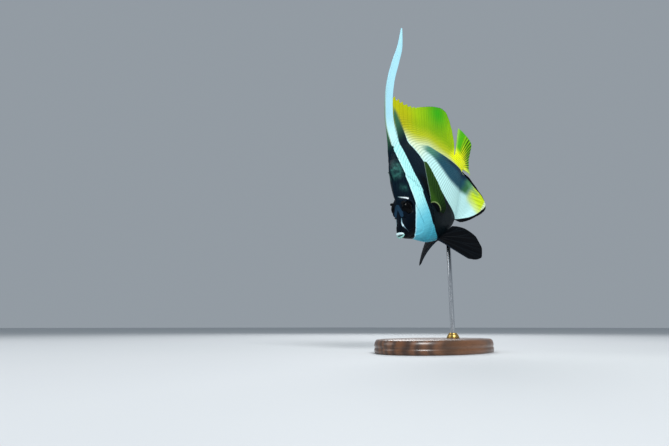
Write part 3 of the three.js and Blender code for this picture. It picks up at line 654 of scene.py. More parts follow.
def patch(root, margin, front_via=(), rear_via=()):
    """A sheet over four borders: b from root (0) to margin (1), t from the front border (0) to the rear."""
    def border(t, via):
        ends = [root(np.array(t)), margin(np.array(t))]
        return np.array([ends[0], *via, ends[1]])
    front, rear = border(0.0, front_via), border(1.0, rear_via)

    def sheet(t, b):
        t, b = np.broadcast_arrays(t, b)
        u, v = t[..., None], b[..., None]
        corners = blend(blend(front[0], rear[0], u), blend(front[-1], rear[-1], u), v)
        return blend(root(t), margin(t), v) + blend(spline(front, b), spline(rear, b), u) - corners
    return sheet


def straight(a, b):
    a, b = np.array(a), np.array(b)
    return lambda t: a + (b - a) * np.asarray(t)[..., None]


def through(points):
    return lambda t: spline(points, t)


# First columns of the back and of the belly in STATIONS
BACK, BELLY = 0, 2
# In mm: where a fin leaves the skin, inside the body's outline, and where it is thin, outside it
JOIN, FLARE = 4.0, 8.0
# In mm: the length of a ray's segments, and how deep a plain root goes in
RAY_SEGMENT, ROOT_SUNK = 1.5, 3


def outline_between(column, first, last):
    line = STATIONS[:, column:column + 2]
    return lambda t: spline(line, (first + (last - first) * np.asarray(t, float)) / LAST)


def body_half(column, station, deep):
    """Half width of the body in mm, deep mm in from its back or belly line, and the way in from there."""
    row = spline(STATIONS, station / LAST)
    line = (row[..., 2:4] - row[..., 0:2]) * (1 if column == BACK else -1)
    long = np.linalg.norm(line, axis=-1)
    part = 1 - row[..., 5] if column == BACK else row[..., 5]
    c = 1 - deep * MM / (part * long)
    half = row[..., 4] * (1 - c * c) ** (row[..., 6 if column == BACK else 7] / 2) / MM
    return half, line / long[..., None]


def run_out(u, start, slope):
    """From start, changing by slope at first, to 0 at u = 1, which it reaches level."""
    return start * (1 - 3 * u**2 + 2 * u**3) + slope * u * (1 - u) ** 2


def forked(offset, b, split):
    """Distance from the nearest branch of a ray as a share of the ray spacing. It forks twice."""
    later = np.minimum(split + 0.25, 0.95)
    one = np.abs(np.abs(offset) - 0.25 * smooth(split, np.maximum(1.05, split + 0.1), b))
    return np.abs(one - 0.11 * smooth(later, 1.15, b) * (split < 1))


def ray_relief(q, b, deep, space, per_ray, split, ray_width, joints):
    """Height of the rays from 0 to 1, forked and with joints past the fork. Space is mm between rays."""
    width = blend(ray_width, ray_width * 0.6, b) / np.maximum(space, 0.25)
    ray = hump(forked(q - np.round(q), b, split), np.maximum(width, 0.6 / per_ray))
    segment = 0.5 + 0.5 * np.cos(2 * np.pi * deep / RAY_SEGMENT)
    return ray * (1 - joints * segment * smooth(split * 0.6, split, b))


def joined_root(join, free, taper, place, t, flat, deep, half):
    """Rows inside the back or belly, as wide as the body there, and a fillet from them out to the fin."""
    column, shares, stations = join
    t = t[:1]
    station = np.interp(t, shares, stations)
    depths = JOIN * np.array([[1.6], [1.3], [1.0], [0.8], [0.6], [0.4], [0.2]])
    inner, way = body_half(column, station, depths)
    ends = (smooth(0.0, taper, t) if free[0] else 1) * (smooth(1.0, 1 - taper, t) if free[1] else 1)
    at_join, outside, inside = (body_half(column, station, JOIN + shift)[0] for shift in (0, -0.2, 0.2))
    slope, whole = (outside - inside) / 0.4, JOIN + FLARE

    def fillet(out, thin):
        u = np.clip((JOIN + out) / whole, 0, 1)
        return thin + np.maximum(run_out(u, at_join - thin, slope * whole), 0) * ends

    deeper = (inner[:2] - [[0.5], [0.12]]) * ends
    first_half = np.concatenate([deeper, fillet(-depths[2:], half[:1])])
    first_flat = flat[:1] + way * (depths * MM)[..., None]
    return first_flat, place(first_flat, 0 * inner, 0 * inner), first_half, fillet(deep, half)


def plain_root(swell, run, flat, middle, deep, half):
    """One more row inside the skin, and a fin that thickens towards it."""
    half = half + swell * np.exp(-((deep / run) ** 1.3))
    inward = middle[:1] - middle[2:3]
    sunk = inward / np.linalg.norm(inward, axis=-1, keepdims=True) * ROOT_SUNK * MM
    return flat[:1], middle[:1] + sunk, half[:1], half


def two_sided_faces(rows, columns):
    """Faces of a sheet's two sides and of the border between them."""
    count, last_row = rows * columns, (rows - 1) * columns
    border = [*range(columns), *range(2 * columns - 1, count, columns)]
    border += [*range(last_row + columns - 2, last_row - 1, -1), *range(last_row - columns, 0, -columns)]
    faces = sheet_faces(rows, columns, 0, True) + sheet_faces(rows, columns, count)
    return faces + [[a, c, c + count, a + count] for a, c in zip(border, border[1:] + border[:1])]


def make_fin(name, slot, nodes, sheet, place, paint, rays, per_ray, rows, thick, web, split=0.45,
             ray_width=0.55, notch=0.4, joints=0.0, ripple=0.0, swell=1.0, run=2.2, rise=(0.0, 0.1),
             ridge=None, join=None, free=(True, True), taper=0.07):
    """A closed fin from a sheet. Thick and web are the rays' and the membrane's thickness in mm at root and
    margin, split is where rays fork, notch how far in mm the membrane falls short of their tips, and rise
    where the rays come out of the scaly sheath. Join names the stretch of back or belly that a fin grows
    from, free tells which of its ends stand alone, and taper over what share those narrow. Other roots
    thicken by swell over run, both in mm."""
    columns = (rays - 1) * per_ray + 1
    t = np.linspace(0, 1, columns)[None, :]
    q = t * (rays - 1)
    long = np.linalg.norm(sheet(t, np.ones_like(t)) - sheet(t, np.zeros_like(t)), axis=-1) / MM
    split, notch = (np.interp(q, *given) if isinstance(given, tuple) else given for given in (split, notch))
    behind = (q - np.floor(q)) ** np.where(notch > 1, 0.5, 1)
    short = 1 - notch * np.abs(np.sin(np.pi * behind)) ** 0.8 / np.maximum(long, 1)
    b = np.linspace(0, 1, rows)[:, None] * short
    t = np.broadcast_to(t, b.shape)
    flat = sheet(t, b)
    step = 2e-3
    across = place(sheet(t + step, b), t + step, b) - place(sheet(t - step, b), t - step, b)
    along = place(sheet(t, b + step), t, b + step) - place(sheet(t, b - step), t, b - step)
    normal = np.cross(across, along)
    normal /= np.maximum(np.linalg.norm(normal, axis=-1, keepdims=True), 1e-9)
    deep = b * long
    space = np.linalg.norm(across, axis=-1) / (2 * step) / (rays - 1) / MM
    ray = ridge(t, b) if ridge else ray_relief(q, b, deep, space, per_ray, split, ray_width, joints)
    ray = ray * smooth(*rise, b)
    membrane, full = (blend(*given, b**0.7) for given in (web, thick))
    half = blend(membrane, full, ray) / 2 * (1 - 0.55 * smooth(0.96, 1.0, b / short))
    wave = ripple * np.sin(2 * np.pi * (0.35 * q + 0.8 * b)) * b * (1 - 0.4 * ray)
    middle = place(flat, t, b) + normal * (wave * MM)[..., None]
    if join:
        *first, first_half, half = joined_root(join, free, taper, place, t, flat, deep, half)
    else:
        *first, first_half, half = plain_root(swell, run, flat, middle, deep, half)

    def with_root(values, root=None):
        return np.concatenate([np.repeat(values[:1], len(first_half), 0) if root is None else root, values])

    flat, middle, half = with_root(flat, first[0]), with_root(middle, first[1]), with_root(half, first_half)
    normal, b, t, ray, deep = (with_root(values) for values in (normal, b, t, ray, deep))
    points = np.stack([middle + side * normal * (half * MM)[..., None] for side in (1, -1)])
    x, z = flat[..., 0], flat[..., 1]
    none = 0 * b
    painted = {"ink": none - 5, "soft": none + 0.35, "mark": none - 9, "mottle": none, "ray": ray}
    painted.update(paint(x, z, t, b, ray, deep), mark_tone=none[..., None] + INK)
    painted.setdefault("dark", painted["pale"])
    painted["rank"], painted["row"] = scale_place(x, z)
    both = {key: np.concatenate([values, values]) for key, values in painted.items()}
    faces = two_sided_faces(rows + len(first_half), columns)
    finish_mesh(name, to_world(points), faces, both, fin_material, nodes)


def set_off(flat, y):
    """Points of the fish's mid plane moved sideways to y."""
    return np.stack([flat[..., 0], y + 0 * flat[..., 0], flat[..., 1]], -1)


def mid_plane(flat, t, b):
    return set_off(flat, 0)


# Paint of the fins. One that names no dark colour and no ink has the same colour all over.
BANNER_RIDGES, TAIL_RAYS = 9, 17


def dark_paint(x, z, t, b, ray, deep):
    # Painted highlight: rays lighter towards the margin; the leading edge a little lighter grey
    black = wash(INK, ("121a20", 0.5 * ray * smooth(0.0, 0.6, b)), ("1b2a3a", 0.7 * hump(t, 0.012)))
    return {"pale": black, "scaly": 0.4 * smooth(6, 0, deep)}


def front_spine_paint(x, z, t, b, ray, deep):
    painted = flank_paint(x, z)
    ink = blend(painted["ink"], 5, smooth(0.02, 0.1, b))
    return {**painted, "ink": ink, "scaly": smooth(0.3, 0.0, b)}


def dorsal_paint(x, z, t, b, ray, deep):
    painted = flank_paint(x, z)
    pale = wash(
        painted["pale"],
        ([0.5, 0.62, 0.4], 0.45 * ray * smooth(0.15, 0.7, b)),
        (DEEP_GREEN * 0.6, 0.8 * smooth(0.975, 0.995, b) * smooth(0.82, 0.88, x)),
    )
    return {**painted, "pale": pale, "scaly": smooth(0.8, 0.35, b)}


def banner_ridges(t):
    return 0.5 + 0.5 * np.cos(2 * np.pi * BANNER_RIDGES * t)


def banner_ridge(t, b):
    """The spine along the banner's front edge, with fine ridges in the membrane behind it."""
    return hump(t - 0.1, 0.11) + 0.16 * banner_ridges(t) * smooth(0.2, 0.3, t)


def banner_paint(x, z, t, b, ray, deep):
    painted = flank_paint(x, z)
    free = wash(
        WHITE,
        ("a9dcea", smooth(0.05, 0.4, b)),
        ("7c8456", 0.75 * hump(t, 0.07) * smooth(0.02, 0.1, b) * smooth(0.62, 0.4, b)),
        ([0.7, 0.84, 0.9], 0.5 * banner_ridges(t) * smooth(0.15, 0.3, t)),
    )
    pale = wash(painted["pale"], (free, smooth(0.0, 0.03, b)))
    ink = blend(painted["ink"], -5, smooth(0.0, 0.05, b))
    return {**painted, "pale": pale, "ink": ink, "scaly": smooth(0.15, 0.0, b)}


def anal_paint(x, z, t, b, ray, deep):
    painted = flank_paint(x, z)
    gold = smooth(0.86, 1.0, x) * smooth(-0.18, -0.28, z)
    clear = hump(past(ANAL_REAR, x, z) + 5, 4) * smooth(-0.12, -0.2, z) * smooth(-0.36, -0.3, z)
    pale = wash(
        painted["pale"],
        ("5d5a14", 0.5 * ray * gold),
        ("5f9a6c", 0.6 * clear),
        ([0.7, 0.82, 0.84], 0.4 * ray * (1 - gold) * smooth(0.2, 0.6, b)),
    )
    ink = np.maximum(painted["ink"], 60 * (t - 0.96))
    return {**painted, "pale": pale, "ink": ink, "scaly": smooth(0.7, 0.3, b)}


def tail_paint(x, z, t, b, ray, deep):
    green = np.maximum(smooth(0.15, 0.42, b) * smooth(0.45, 0.15, t), 0.85 * smooth(0.3, 0.72, b))
    lines = smooth(0.35, 0.85, 0.5 + 0.5 * np.cos(2 * np.pi * (TAIL_RAYS - 1) * t))
    lined = smooth(0.18, 0.4, b) * smooth(0.15, 0.32, t) * smooth(0.96, 0.85, t) * smooth(1.0, 0.93, b)
    edge = np.maximum(0.5 * hump(t, 0.05), hump(1 - t, 0.06)) * smooth(0.05, 0.2, b)
    pale = wash(
        LEMON,
        (GREEN, 0.95 * green),
        ("08280c", 0.95 * lines * lined),
        ("2f9a3c", 0.7 * smooth(0.92, 1.0, b)),
        ("d4ee78", 0.8 * edge),
    )
    return {"pale": pale, "scaly": smooth(0.3, 0.1, b)}


def pectoral_paint(x, z, t, b, ray, deep):
    lit = blend(1, 0.3, smooth(0.25, 0.85, t))
    past_lobe = deep - 1.4 - 4.4 * np.sin(np.pi * np.clip(t, 0, 1)) ** 0.7
    pale = wash(
        "17320f",
        ("56803a", 0.55 * ray * smooth(0.05, 0.3, b) * lit),
        ("3f6a12", 0.4 * lit * smooth(0.55, 0.15, b)),
        ("84958c", 0.8 * hump(t, 0.02) * smooth(0.1, 0.2, b)),
        (INK, 0.75 * smooth(0.55, 0.95, t)),
        (INK, smooth(0.3, -0.3, past_lobe)),
        ("a6bc7c", 0.65 * hump(past_lobe - 0.4, 0.5) * smooth(1.0, 0.75, t)),
    )
    return {"pale": pale, "scaly": 0.3 * smooth(0.1, 0.02, b)}


BANNER_FRONT = [
    [0.358, 0.438], [0.372, 0.52], [0.404, 0.598], [0.455, 0.668], [0.545, 0.76], [0.655, 0.842],
    [0.785, 0.915], [0.915, 0.978], [1.048, 1.066],
]
BANNER_REAR = [
    [0.443, 0.438], [0.458, 0.5], [0.492, 0.573], [0.538, 0.642], [0.612, 0.722], [0.712, 0.802],
    [0.835, 0.874], [0.955, 0.95], [1.056, 1.06],
]

# The stretches of back and belly that the fins grow from, as stations
BANNER_ROOT = (7.58, 8.42)
FRONT_ROOT = (6.45, 7.7)
SPINY_ROOT = (8.3, 10.35)
SOFT_ROOT = (10.35, 13.6)
ANAL_ROOT = (9.55, 13.6)
FLAT_FIN = {"thick": (2.1, 0.7), "web": (1.3, 0.35), "rise": (0.1, 0.4)}
TAIL_MARGIN = np.array([  # x, z and how far it bends to the fish's right
    [1.198, 0.2, -0.003], [1.215, 0.15, -0.016], [1.224, 0.1, -0.026], [1.226, 0.05, -0.034],
    [1.226, 0, -0.013], [1.222, -0.05, 0.024], [1.214, -0.1, 0.052], [1.204, -0.15, 0.072],
    [1.19, -0.206, 0.082],
])


def banner_place(flat, t, b):
    return set_off(flat, -0.02 * b * np.abs(b))


def tail_place(flat, t, b):
    bend = spline(TAIL_MARGIN[:, 2:], t)[..., 0]
    return set_off(flat, bend * np.abs(b) ** 1.6)


make_fin(
    "dorsal_banner_fin", "banner", ["dorsal_banner"],
    patch(
        outline_between(BACK, *BANNER_ROOT), straight(BANNER_FRONT[-1], BANNER_REAR[-1]),
        BANNER_FRONT[1:-1], BANNER_REAR[1:-1],
    ),
    banner_place, banner_paint, rays=3, per_ray=28, rows=220, thick=(2.5, 0.8), web=(1.1, 0.35), notch=0.0,
    ripple=0.4, ridge=banner_ridge, rise=(0.0, 0.12), join=(BACK, (0, 1), BANNER_ROOT), free=(False, False),
)
make_fin(
    "dorsal_front_spines", "black_fin", ["dorsal_fin_front"],
    patch(
        outline_between(BACK, *FRONT_ROOT),
        through([[0.27, 0.415], [0.302, 0.458], [0.346, 0.512], [0.41, 0.605]]), (), [[0.386, 0.53]],
    ),
    mid_plane, front_spine_paint, rays=4, per_ray=16, rows=60, thick=(1.9, 0.7), web=(1.2, 0.4), split=2.0,
    ray_width=0.6, notch=0.7, rise=(0.1, 0.5), join=(BACK, (0, 1), FRONT_ROOT), free=(True, False),
    taper=0.35,
)
SPINY, SOFT = 7, 24  # ray intervals before and behind the last spine
spiny_sheet = patch(
    outline_between(BACK, *SPINY_ROOT),
    through([[0.612, 0.735], [0.655, 0.695], [0.69, 0.652], [0.735, 0.606], [0.78, 0.572], [0.832, 0.545]]),
    [[0.478, 0.573], [0.528, 0.645]],
)
soft_sheet = patch(
    outline_between(BACK, *SOFT_ROOT),
    through([
        [0.832, 0.545], [0.907, 0.514], [0.975, 0.487], [1.045, 0.452], [1.102, 0.415], [1.136, 0.37],
        [1.137, 0.32], [1.124, 0.27], [1.105, 0.22], [1.075, 0.165], [1.042, 0.12], [1.006, 0.09],
    ]),
)


def dorsal_sheet(t, b):
    q = t * (SPINY + SOFT)
    spiny, soft = spiny_sheet(np.minimum(q / SPINY, 1), b), soft_sheet(np.maximum(q - SPINY, 0) / SOFT, b)
    return np.where((q < SPINY)[..., None], spiny, soft)


make_fin(
    "dorsal_rays", "soft_fin", ["dorsal_fin_spiny", "dorsal_fin_soft"], dorsal_sheet, mid_plane,
    dorsal_paint, rays=SPINY + SOFT + 1, per_ray=14, rows=96, joints=0.3, ripple=0.15, free=(False, True),
    split=([0, 6.5, 8], [2, 2, 0.45]), notch=([0, 3, 6.5, 8], [6, 4.5, 2.5, 0.4]),
    join=(BACK, (0, SPINY / (SPINY + SOFT), 1), (*SPINY_ROOT, SOFT_ROOT[1])), **FLAT_FIN,
)
make_fin(
    "anal_rays", "anal_fin", ["anal_fin"],
    patch(
        outline_between(BELLY, *ANAL_ROOT),
        through([
            [0.664, -0.336], [0.72, -0.367], [0.804, -0.402], [0.9, -0.434], [0.985, -0.459],
            [1.055, -0.464], [1.094, -0.42], [1.093, -0.362], [1.08, -0.31], [1.067, -0.26],
            [1.053, -0.206], [1.033, -0.152], [0.998, -0.1],
        ]),
    ),
    mid_plane, anal_paint, rays=20, per_ray=12, rows=84, joints=0.35, ripple=0.2,
    join=(BELLY, (0, 1), ANAL_ROOT), **FLAT_FIN,
)
make_fin(
    "caudal_rays", "tail_fin", ["caudal_fin"],
    patch(straight([0.995, 0.058], [0.995, -0.06]), through(TAIL_MARGIN[:, :2])),
    tail_place, tail_paint, rays=TAIL_RAYS, per_ray=12, rows=76, thick=(2.3, 0.7), web=(1.7, 0.35),
    split=0.3, joints=0.35, ripple=0.25, swell=0.9, run=5, rise=(0.05, 0.3),
)


def side_at(x, z):
    """How far out the body's side is at a place."""
    points = skin_points(np.linspace(0, LAST, 561)[:, None], np.linspace(0.03, np.pi - 0.03, 241))
    points = points.reshape(-1, 3)
    return points[np.hypot(points[:, 0] - x, points[:, 2] - z).argmin(), 1]


PECTORAL_ROOT = straight([0.335, 0.014], [0.371, -0.068])
PECTORAL_SIDE = side_at(0.353, -0.027) - 1 * MM


def pectoral_place(side):
    def place(flat, t, b):
        reach = np.linalg.norm(flat - PECTORAL_ROOT(t), axis=-1)
        away = 0.2 * reach + 1.6 * MM * (1 - np.exp(-reach / (4 * MM)))
        return set_off(flat, side * (PECTORAL_SIDE + away))
    return place


PELVIC = {"x": 0.35, "y": 0.03, "z": -0.27, "slant": 0.65, "length": 0.28}
PELVIC_POSE = {
    LEFT: {"back": 0, "twist": 0, "cup": 0, "sweep": 0, "long": 1},
    RIGHT: {"back": 0.018, "twist": 0.34, "cup": 0.018, "sweep": -0.1, "long": 0.91},
}


def pelvic_place(side):
    pose = PELVIC_POSE[side]
    down = np.array([0, side * math.cos(PELVIC["slant"]), -math.sin(PELVIC["slant"])])
    face = np.array([0, side * math.sin(PELVIC["slant"]), math.cos(PELVIC["slant"])])
    across = np.array([math.cos(pose["twist"]), 0, 0]) + face * math.sin(pose["twist"])

    def place(flat, t, b):
        reach = flat[..., 1:2] * pose["long"]
        along = reach / PELVIC["length"]
        root = [PELVIC["x"] + pose["back"], side * PELVIC["y"], PELVIC["z"]]
        return (root + reach * [pose["sweep"], 0, 0] + flat[..., 0:1] * across + reach * down
                + face * pose["cup"] * 4 * along * (1 - along))
    return place


for side_name, side in SIDES.items():
    make_fin(
        f"pectoral_rays_{side_name}", "pectoral_fin", [f"pectoral_fin_{side_name}"],
        patch(
            PECTORAL_ROOT,
            through([
                [0.388, 0.292], [0.416, 0.268], [0.436, 0.204], [0.454, 0.122], [0.463, 0.043],
                [0.459, -0.03], [0.434, -0.09], [0.394, -0.106],
            ]),
        ),
        pectoral_place(side), pectoral_paint, rays=16, per_ray=12, rows=72, thick=(1.4, 0.5), web=(0.7, 0.3),
        split=0.4, ray_width=0.4, joints=0.3, ripple=0.15, swell=0.9, run=3.5, rise=(0.06, 0.2),
    )
    make_fin(
        f"pelvic_rays_{side_name}", "black_fin", [f"pelvic_fin_{side_name}"],
        patch(
            straight([-0.026, -0.02], [0.03, -0.02]),
            through([
                [-0.086, 0.222], [-0.064, 0.27], [-0.024, 0.29], [0.014, 0.284], [0.066, 0.26],
                [0.112, 0.224], [0.15, 0.184], [0.178, 0.135], [0.188, 0.085], [0.182, 0.04], [0.16, 0.006],
            ]),
        ),
        pelvic_place(side), dark_paint, rays=6, per_ray=26, rows=72, thick=(2.2, 0.8), web=(1.2, 0.35),
        split=0.18, ray_width=0.7, joints=0.3, ripple=0.3, notch=0.8, swell=1.4, run=4, rise=(0.0, 0.2),
    )


# Eyes, horns and lips

def lathe(name, profile, turns, place, paint, material, nodes):
    """A turned piece: profile gives radius and height along an axis, place sets its points in the scene."""
    radius, height = np.moveaxis(np.array(profile)[:, None, :], -1, 0)
    angle = np.linspace(0, 2 * np.pi, turns, endpoint=False)
    points = np.stack([radius * np.cos(angle), radius * np.sin(angle), height + 0 * angle], -1)
    values = paint(points) if paint else {}
    finish_mesh(name, place(points), tube_faces(len(profile), turns), values, material, nodes)


def eye_material():
    g = Graph("bannerfish_eye")
    out = g.read("out")
    iris = g.mix(g.ease(g.noise(g.place(), 600, 3), 0.35, 0.7), "020204", "07070a")
    iris = g.mix(g.ease(out, 0.62, 0.86), iris, "030406")
    ring = g.times(g.ease(out, 0.4, 0.45), g.ease(out, 0.5, 0.45))
    iris = g.mix(g.times(ring, 0.3), iris, "1d1a16")
    colour = g.mix(g.ease(out, 0.4, 0.43), "020203", iris)
    g.set(Base_Color=colour, Roughness=0.3, Specular_IOR_Level=0.02, Coat_Weight=0.08, Coat_Roughness=0.03)
    return g.material


def horn_material():
    g = Graph("bannerfish_horn")
    grain = g.noise(g.stretch(g.place(), (1, 1, 0.3)), 700, 3)
    g.set(Base_Color=g.mix(grain, "030406", "0b0e12"), Roughness=0.55, Specular_IOR_Level=0.12)
    g.set(Normal=g.bump(grain, 0.0002, 0.5))
    return g.material


def lip_material(name, pale, deep):
    g = Graph(name)
    folds = g.noise(g.stretch(g.place(), (1, 1.6, 0.5)), 900, 3)
    colour = g.mix(g.ease(folds, 0.3, 0.75), pale, deep)
    colour = g.mix(g.ease(g.read("inside"), 0.2, 0.8), colour, "10202c")
    g.set(Base_Color=colour, Roughness=0.38, Coat_Weight=0.4, Coat_Roughness=0.15)
    g.set(Normal=g.bump(folds, 0.0002, 0.5))
    return g.material


eye_look, horn_look = eye_material(), horn_material()
HORN = {"x": 0.146, "z": 0.148, "y": 0.042, "length": 3.2, "root": 2.3, "tip": 1.4, "sunk": 3}
HORN_WAY = (-0.3, 0.8, 0.5)

half_turn = np.linspace(0, np.pi, 49)
eye_profile = np.stack([EYE["radius"] * np.sin(half_turn), EYE["depth"] * np.cos(half_turn)], -1)
height = np.linspace(0, 1, 40)
horn_rings = 1 + 0.02 * np.cos(height * 44)
radius = blend(HORN["root"], HORN["tip"], smooth(0.3, 0.9, height)) * horn_rings
radius *= np.sqrt(np.clip(1 - height**14, 0, 1))
horn_profile = np.stack([radius, blend(-HORN["sunk"], HORN["length"] * 1.06, height)], -1)
horn_profile = np.vstack([[0, -HORN["sunk"]], horn_profile])


def eye_paint(points):
    return {"out": np.hypot(points[..., 0], points[..., 1]) / EYE["radius"]}


for side_name, side in SIDES.items():
    horn_way = Vector((HORN_WAY[0], side * HORN_WAY[1], HORN_WAY[2]))
    horn_turn = np.array(Vector((0, 0, 1)).rotation_difference(horn_way).to_matrix())

    def eye_place(points):
        turned = np.stack([points[..., 0], side * (EYE_SIDE + points[..., 2]), points[..., 1]], -1)
        return to_world(turned + [EYE["x"], 0, EYE["z"]])

    def horn_place(points):
        return to_world(points * MM @ horn_turn.T + [HORN["x"], side * HORN["y"], HORN["z"]])

    solids = [f"eye_{side_name}"], [f"horn_{side_name}"]
    lathe(f"eyeball_{side_name}", eye_profile, 72, eye_place, eye_paint, eye_look, solids[0])
    lathe(f"horn_{side_name}_bony", horn_profile, 40, horn_place, None, horn_look, solids[1])

MOUTH = {"x": 2.1, "z": -1.8, "half": 4.2, "gape": 1.6, "roll": 1.2, "bow": 1.6}
LIP_TONES = {"upper_lip": ("dff6f8", "a8d6da"), "lower_lip": ("9fd8cc", "7fbcb4")}


def lip(name, first, last, node):
    """Half of the fleshy ring round the mouth, tapering to its corners."""
    steps, around = 72, 28
    along = np.linspace(first, last, steps)[:, None]
    roll = np.linspace(0, 2 * np.pi, around, endpoint=False)[None, :]
    ends = np.sqrt(np.clip(np.sin((along - first) / (last - first) * np.pi), 0, 1))
    thick = MOUTH["roll"] * (1 + 0.25 * np.abs(np.sin(along))) * blend(0.4, 1, ends)
    thick = thick * (1 + 0.03 * np.sin(along * 46) * np.abs(np.sin(roll)))
    x = MOUTH["x"] + MOUTH["bow"] * np.cos(along) ** 2 - 1.3 * thick * np.sin(roll)
    y = np.cos(along) * (MOUTH["half"] + thick * np.cos(roll))
    z = MOUTH["z"] + np.sin(along) * (MOUTH["gape"] + thick * np.cos(roll)) + 0.3 * np.sin(along)
    points = np.stack([x, y, z], -1) * MM
    inside = np.broadcast_to(smooth(-0.55, -0.95, np.cos(roll)), x.shape)
    caps = [list(range(around))[::-1], list(range((steps - 1) * around, steps * around))]
    look = lip_material("bannerfish_" + node, *LIP_TONES[node])
    faces = tube_faces(steps, around) + caps
    finish_mesh(name, to_world(points), faces, {"inside": inside}, look, [node])


lip("lip_upper_flesh", 0.02, np.pi - 0.02, "upper_lip")
lip("lip_lower_flesh", np.pi + 0.02, 2 * np.pi - 0.02, "lower_lip")


# Stand

def wood_material():
    g = Graph("stand_walnut")
    place = g.place()
    warped = g.noise(place, 9, 2)
    rings = g.nodes.new("ShaderNodeTexWave")
    rings.wave_type = "BANDS"
    rings.bands_direction = "Y"
    for key, value in (("Scale", 34.0), ("Distortion", 7.0), ("Detail", 3.0), ("Detail Scale", 1.2)):
        rings.inputs[key].default_value = value
    g.put(rings.inputs["Vector"], g.stretch(place, (0.25, 1, 1)))
    pores = g.noise(g.stretch(place, (0.05, 1, 1)), 1400, 3)
    colour = g.mix(rings.outputs["Fac"], "3b2416", "6d4529")
    colour = g.mix(g.ease(pores, 0.5, 0.72, 0.0, 0.6), colour, "24140c")
    colour = g.mix(g.ease(warped, 0.3, 0.8, 0.0, 0.4), colour, "7d5633")
    g.set(Base_Color=colour, Coat_Weight=0.35, Coat_Roughness=0.18)
    g.set(Roughness=g.ease(pores, 0.3, 0.8, 0.32, 0.5), Normal=g.bump(pores, 0.00012, 0.4))
    return g.material


def metal_material(name, colour, rough, along):
    g = Graph(name)
    place = g.place()
    lines = g.noise(g.stretch(place, along), 2600, 2)
    dulled = g.noise(place, 160, 3)
    g.set(Base_Color=g.mix(g.ease(dulled, 0.4, 0.8, 0, 0.3), colour, colour * 0.7), Metallic=1.0)
    g.set(Roughness=g.ease(lines, 0.3, 0.7, rough - 0.07, rough + 0.1), Normal=g.bump(lines, 0.00003, 0.35))
    return g.material


BASE = {"long": 0.160, "wide": 0.104, "thick": 0.014}
ROD = {"radius": 0.0025, "station": 8.3, "sunk": 0.009, "seat": 0.006}
COLLAR = {"radius": 0.007, "height": 0.006}
belly = spline(STATIONS[:, 2:4], np.array(ROD["station"] / LAST))
rod_top = to_world(np.array([belly[0], 0, belly[1]]))
walnut = wood_material()
steel = metal_material("stand_steel_brushed", tone("c3c6ca"), 0.26, (1, 1, 0.05))
brass = metal_material("stand_brass_satin", tone("c9a55c"), 0.28, (1, 1, 0.2))

# Each profile of the stand: how far out and how high, for the base as a share of its half size and in metres
base_profile = [
    [0.0, 0.0], [0.965, 0.0], [0.98, 0.0003], [0.99, 0.0012], [0.9935, 0.0026], [0.9935, 0.0042],
    [0.988, 0.0052], [0.982, 0.0056], [0.985, 0.0063], [0.99, 0.0072], [0.991, 0.0086], [0.986, 0.0104],
    [0.976, 0.012], [0.963, 0.0132], [0.948, 0.0138], [0.93, 0.0139], [0.925, 0.0136], [0.919, 0.0136],
    [0.914, 0.014], [0.5, 0.014], [0.0, 0.014],
]


def base_place(points):
    return points * [BASE["long"] / 2, BASE["wide"] / 2, 1]


def on_rod(points):
    return points + [rod_top[0], 0, 0]


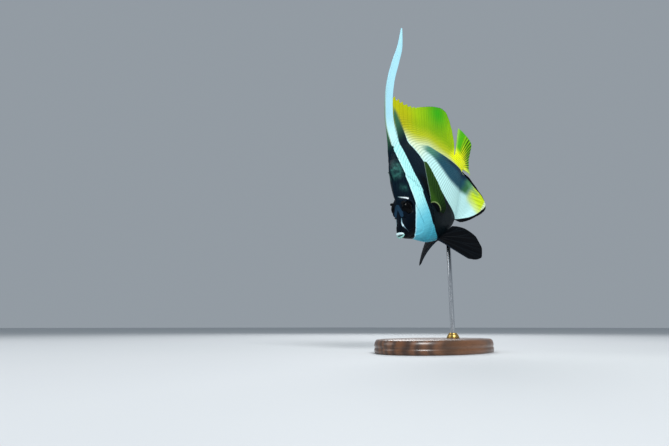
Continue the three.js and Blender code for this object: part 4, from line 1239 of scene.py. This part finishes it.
lathe("base_walnut", base_profile, 160, base_place, None, walnut, ["stand_base"])
r, top = ROD["radius"], rod_top[2] + ROD["sunk"]
foot = BASE["thick"] - ROD["seat"]
rod_profile = [
    [0, foot], [r, foot], [r, BASE["thick"]], [r, 0.5 * (foot + top)], [r, top - 0.0005], [r * 0.8, top],
    [0, top],
]
lathe("rod_steel", rod_profile, 48, on_rod, None, steel, ["stand_rod"])
low, tall, wide, bore = BASE["thick"], COLLAR["height"], COLLAR["radius"], r * 1.01
collar_profile = [
    [bore, low], [wide * 0.97, low], [wide, low + 0.0003], [wide, low + 0.0016], [wide * 0.97, low + 0.002],
    [wide * 0.92, low + 0.0022], [wide * 0.9, low + 0.0026], [wide * 0.84, low + 0.0036],
    [wide * 0.74, low + 0.0045], [wide * 0.66, low + 0.005], [wide * 0.67, low + 0.0054],
    [wide * 0.64, low + tall], [bore, low + tall],
]
lathe("collar_brass", collar_profile, 72, on_rod, None, brass, ["stand_collar"])


# Floor, light and camera

def floor_material():
    g = Graph("studio_floor")
    cloud = g.noise(g.place(), 3, 3)
    g.set(Base_Color=g.mix(cloud, "c9cdd0", "cfd2d4"), Roughness=0.8)
    return g.material


def plain_floor(size=12.0):
    mesh = bpy.data.meshes.new("floor")
    corners = [(x * size, y * size, 0) for x, y in ((-1, -1), (1, -1), (1, 1), (-1, 1))]
    mesh.from_pydata(corners, [], [(0, 1, 2, 3)])
    mesh.materials.append(floor_material())
    made = put_in_scene("floor", mesh)


MIDDLE = Vector((0.0, 0.0, 0.17))


def aim(made, place, way):
    made.location = place
    made.rotation_euler = Vector(way).to_track_quat("-Z", "Y").to_euler()


def soft_light(name, place, size, power):
    lamp = bpy.data.lights.new(name, "AREA")
    lamp.shape = "DISK"
    lamp.size = size
    lamp.energy = power
    aim(put_in_scene(name, lamp), place, MIDDLE - Vector(place))


plain_floor()
soft_light("key", (-0.45, -0.95, 1.0), size=0.5, power=16)
soft_light("fill", (-0.9, 0.75, 0.7), size=0.8, power=4)
soft_light("back", (0.8, 0.7, 0.9), size=0.7, power=8)

world = bpy.data.worlds.new("studio")
world.use_nodes = True
daylight = world.node_tree.nodes["Background"].inputs
daylight["Color"].default_value = (0.62, 0.7, 0.78, 1)
daylight["Strength"].default_value = 0.47
bpy.context.scene.world = world
bpy.context.scene.view_settings.view_transform = "Standard"

CAMERA = {"place": (-0.4438, -0.3178, 0.0268), "look": (0.6656, 0.716, 0.2098), "lens": 26, "sensor": 36}
lens = bpy.data.cameras.new("camera")
lens.lens = CAMERA["lens"]
lens.sensor_width = CAMERA["sensor"]
lens.clip_start = 0.01
camera = put_in_scene("camera", lens)
aim(camera, CAMERA["place"], CAMERA["look"])
bpy.context.scene.camera = camera
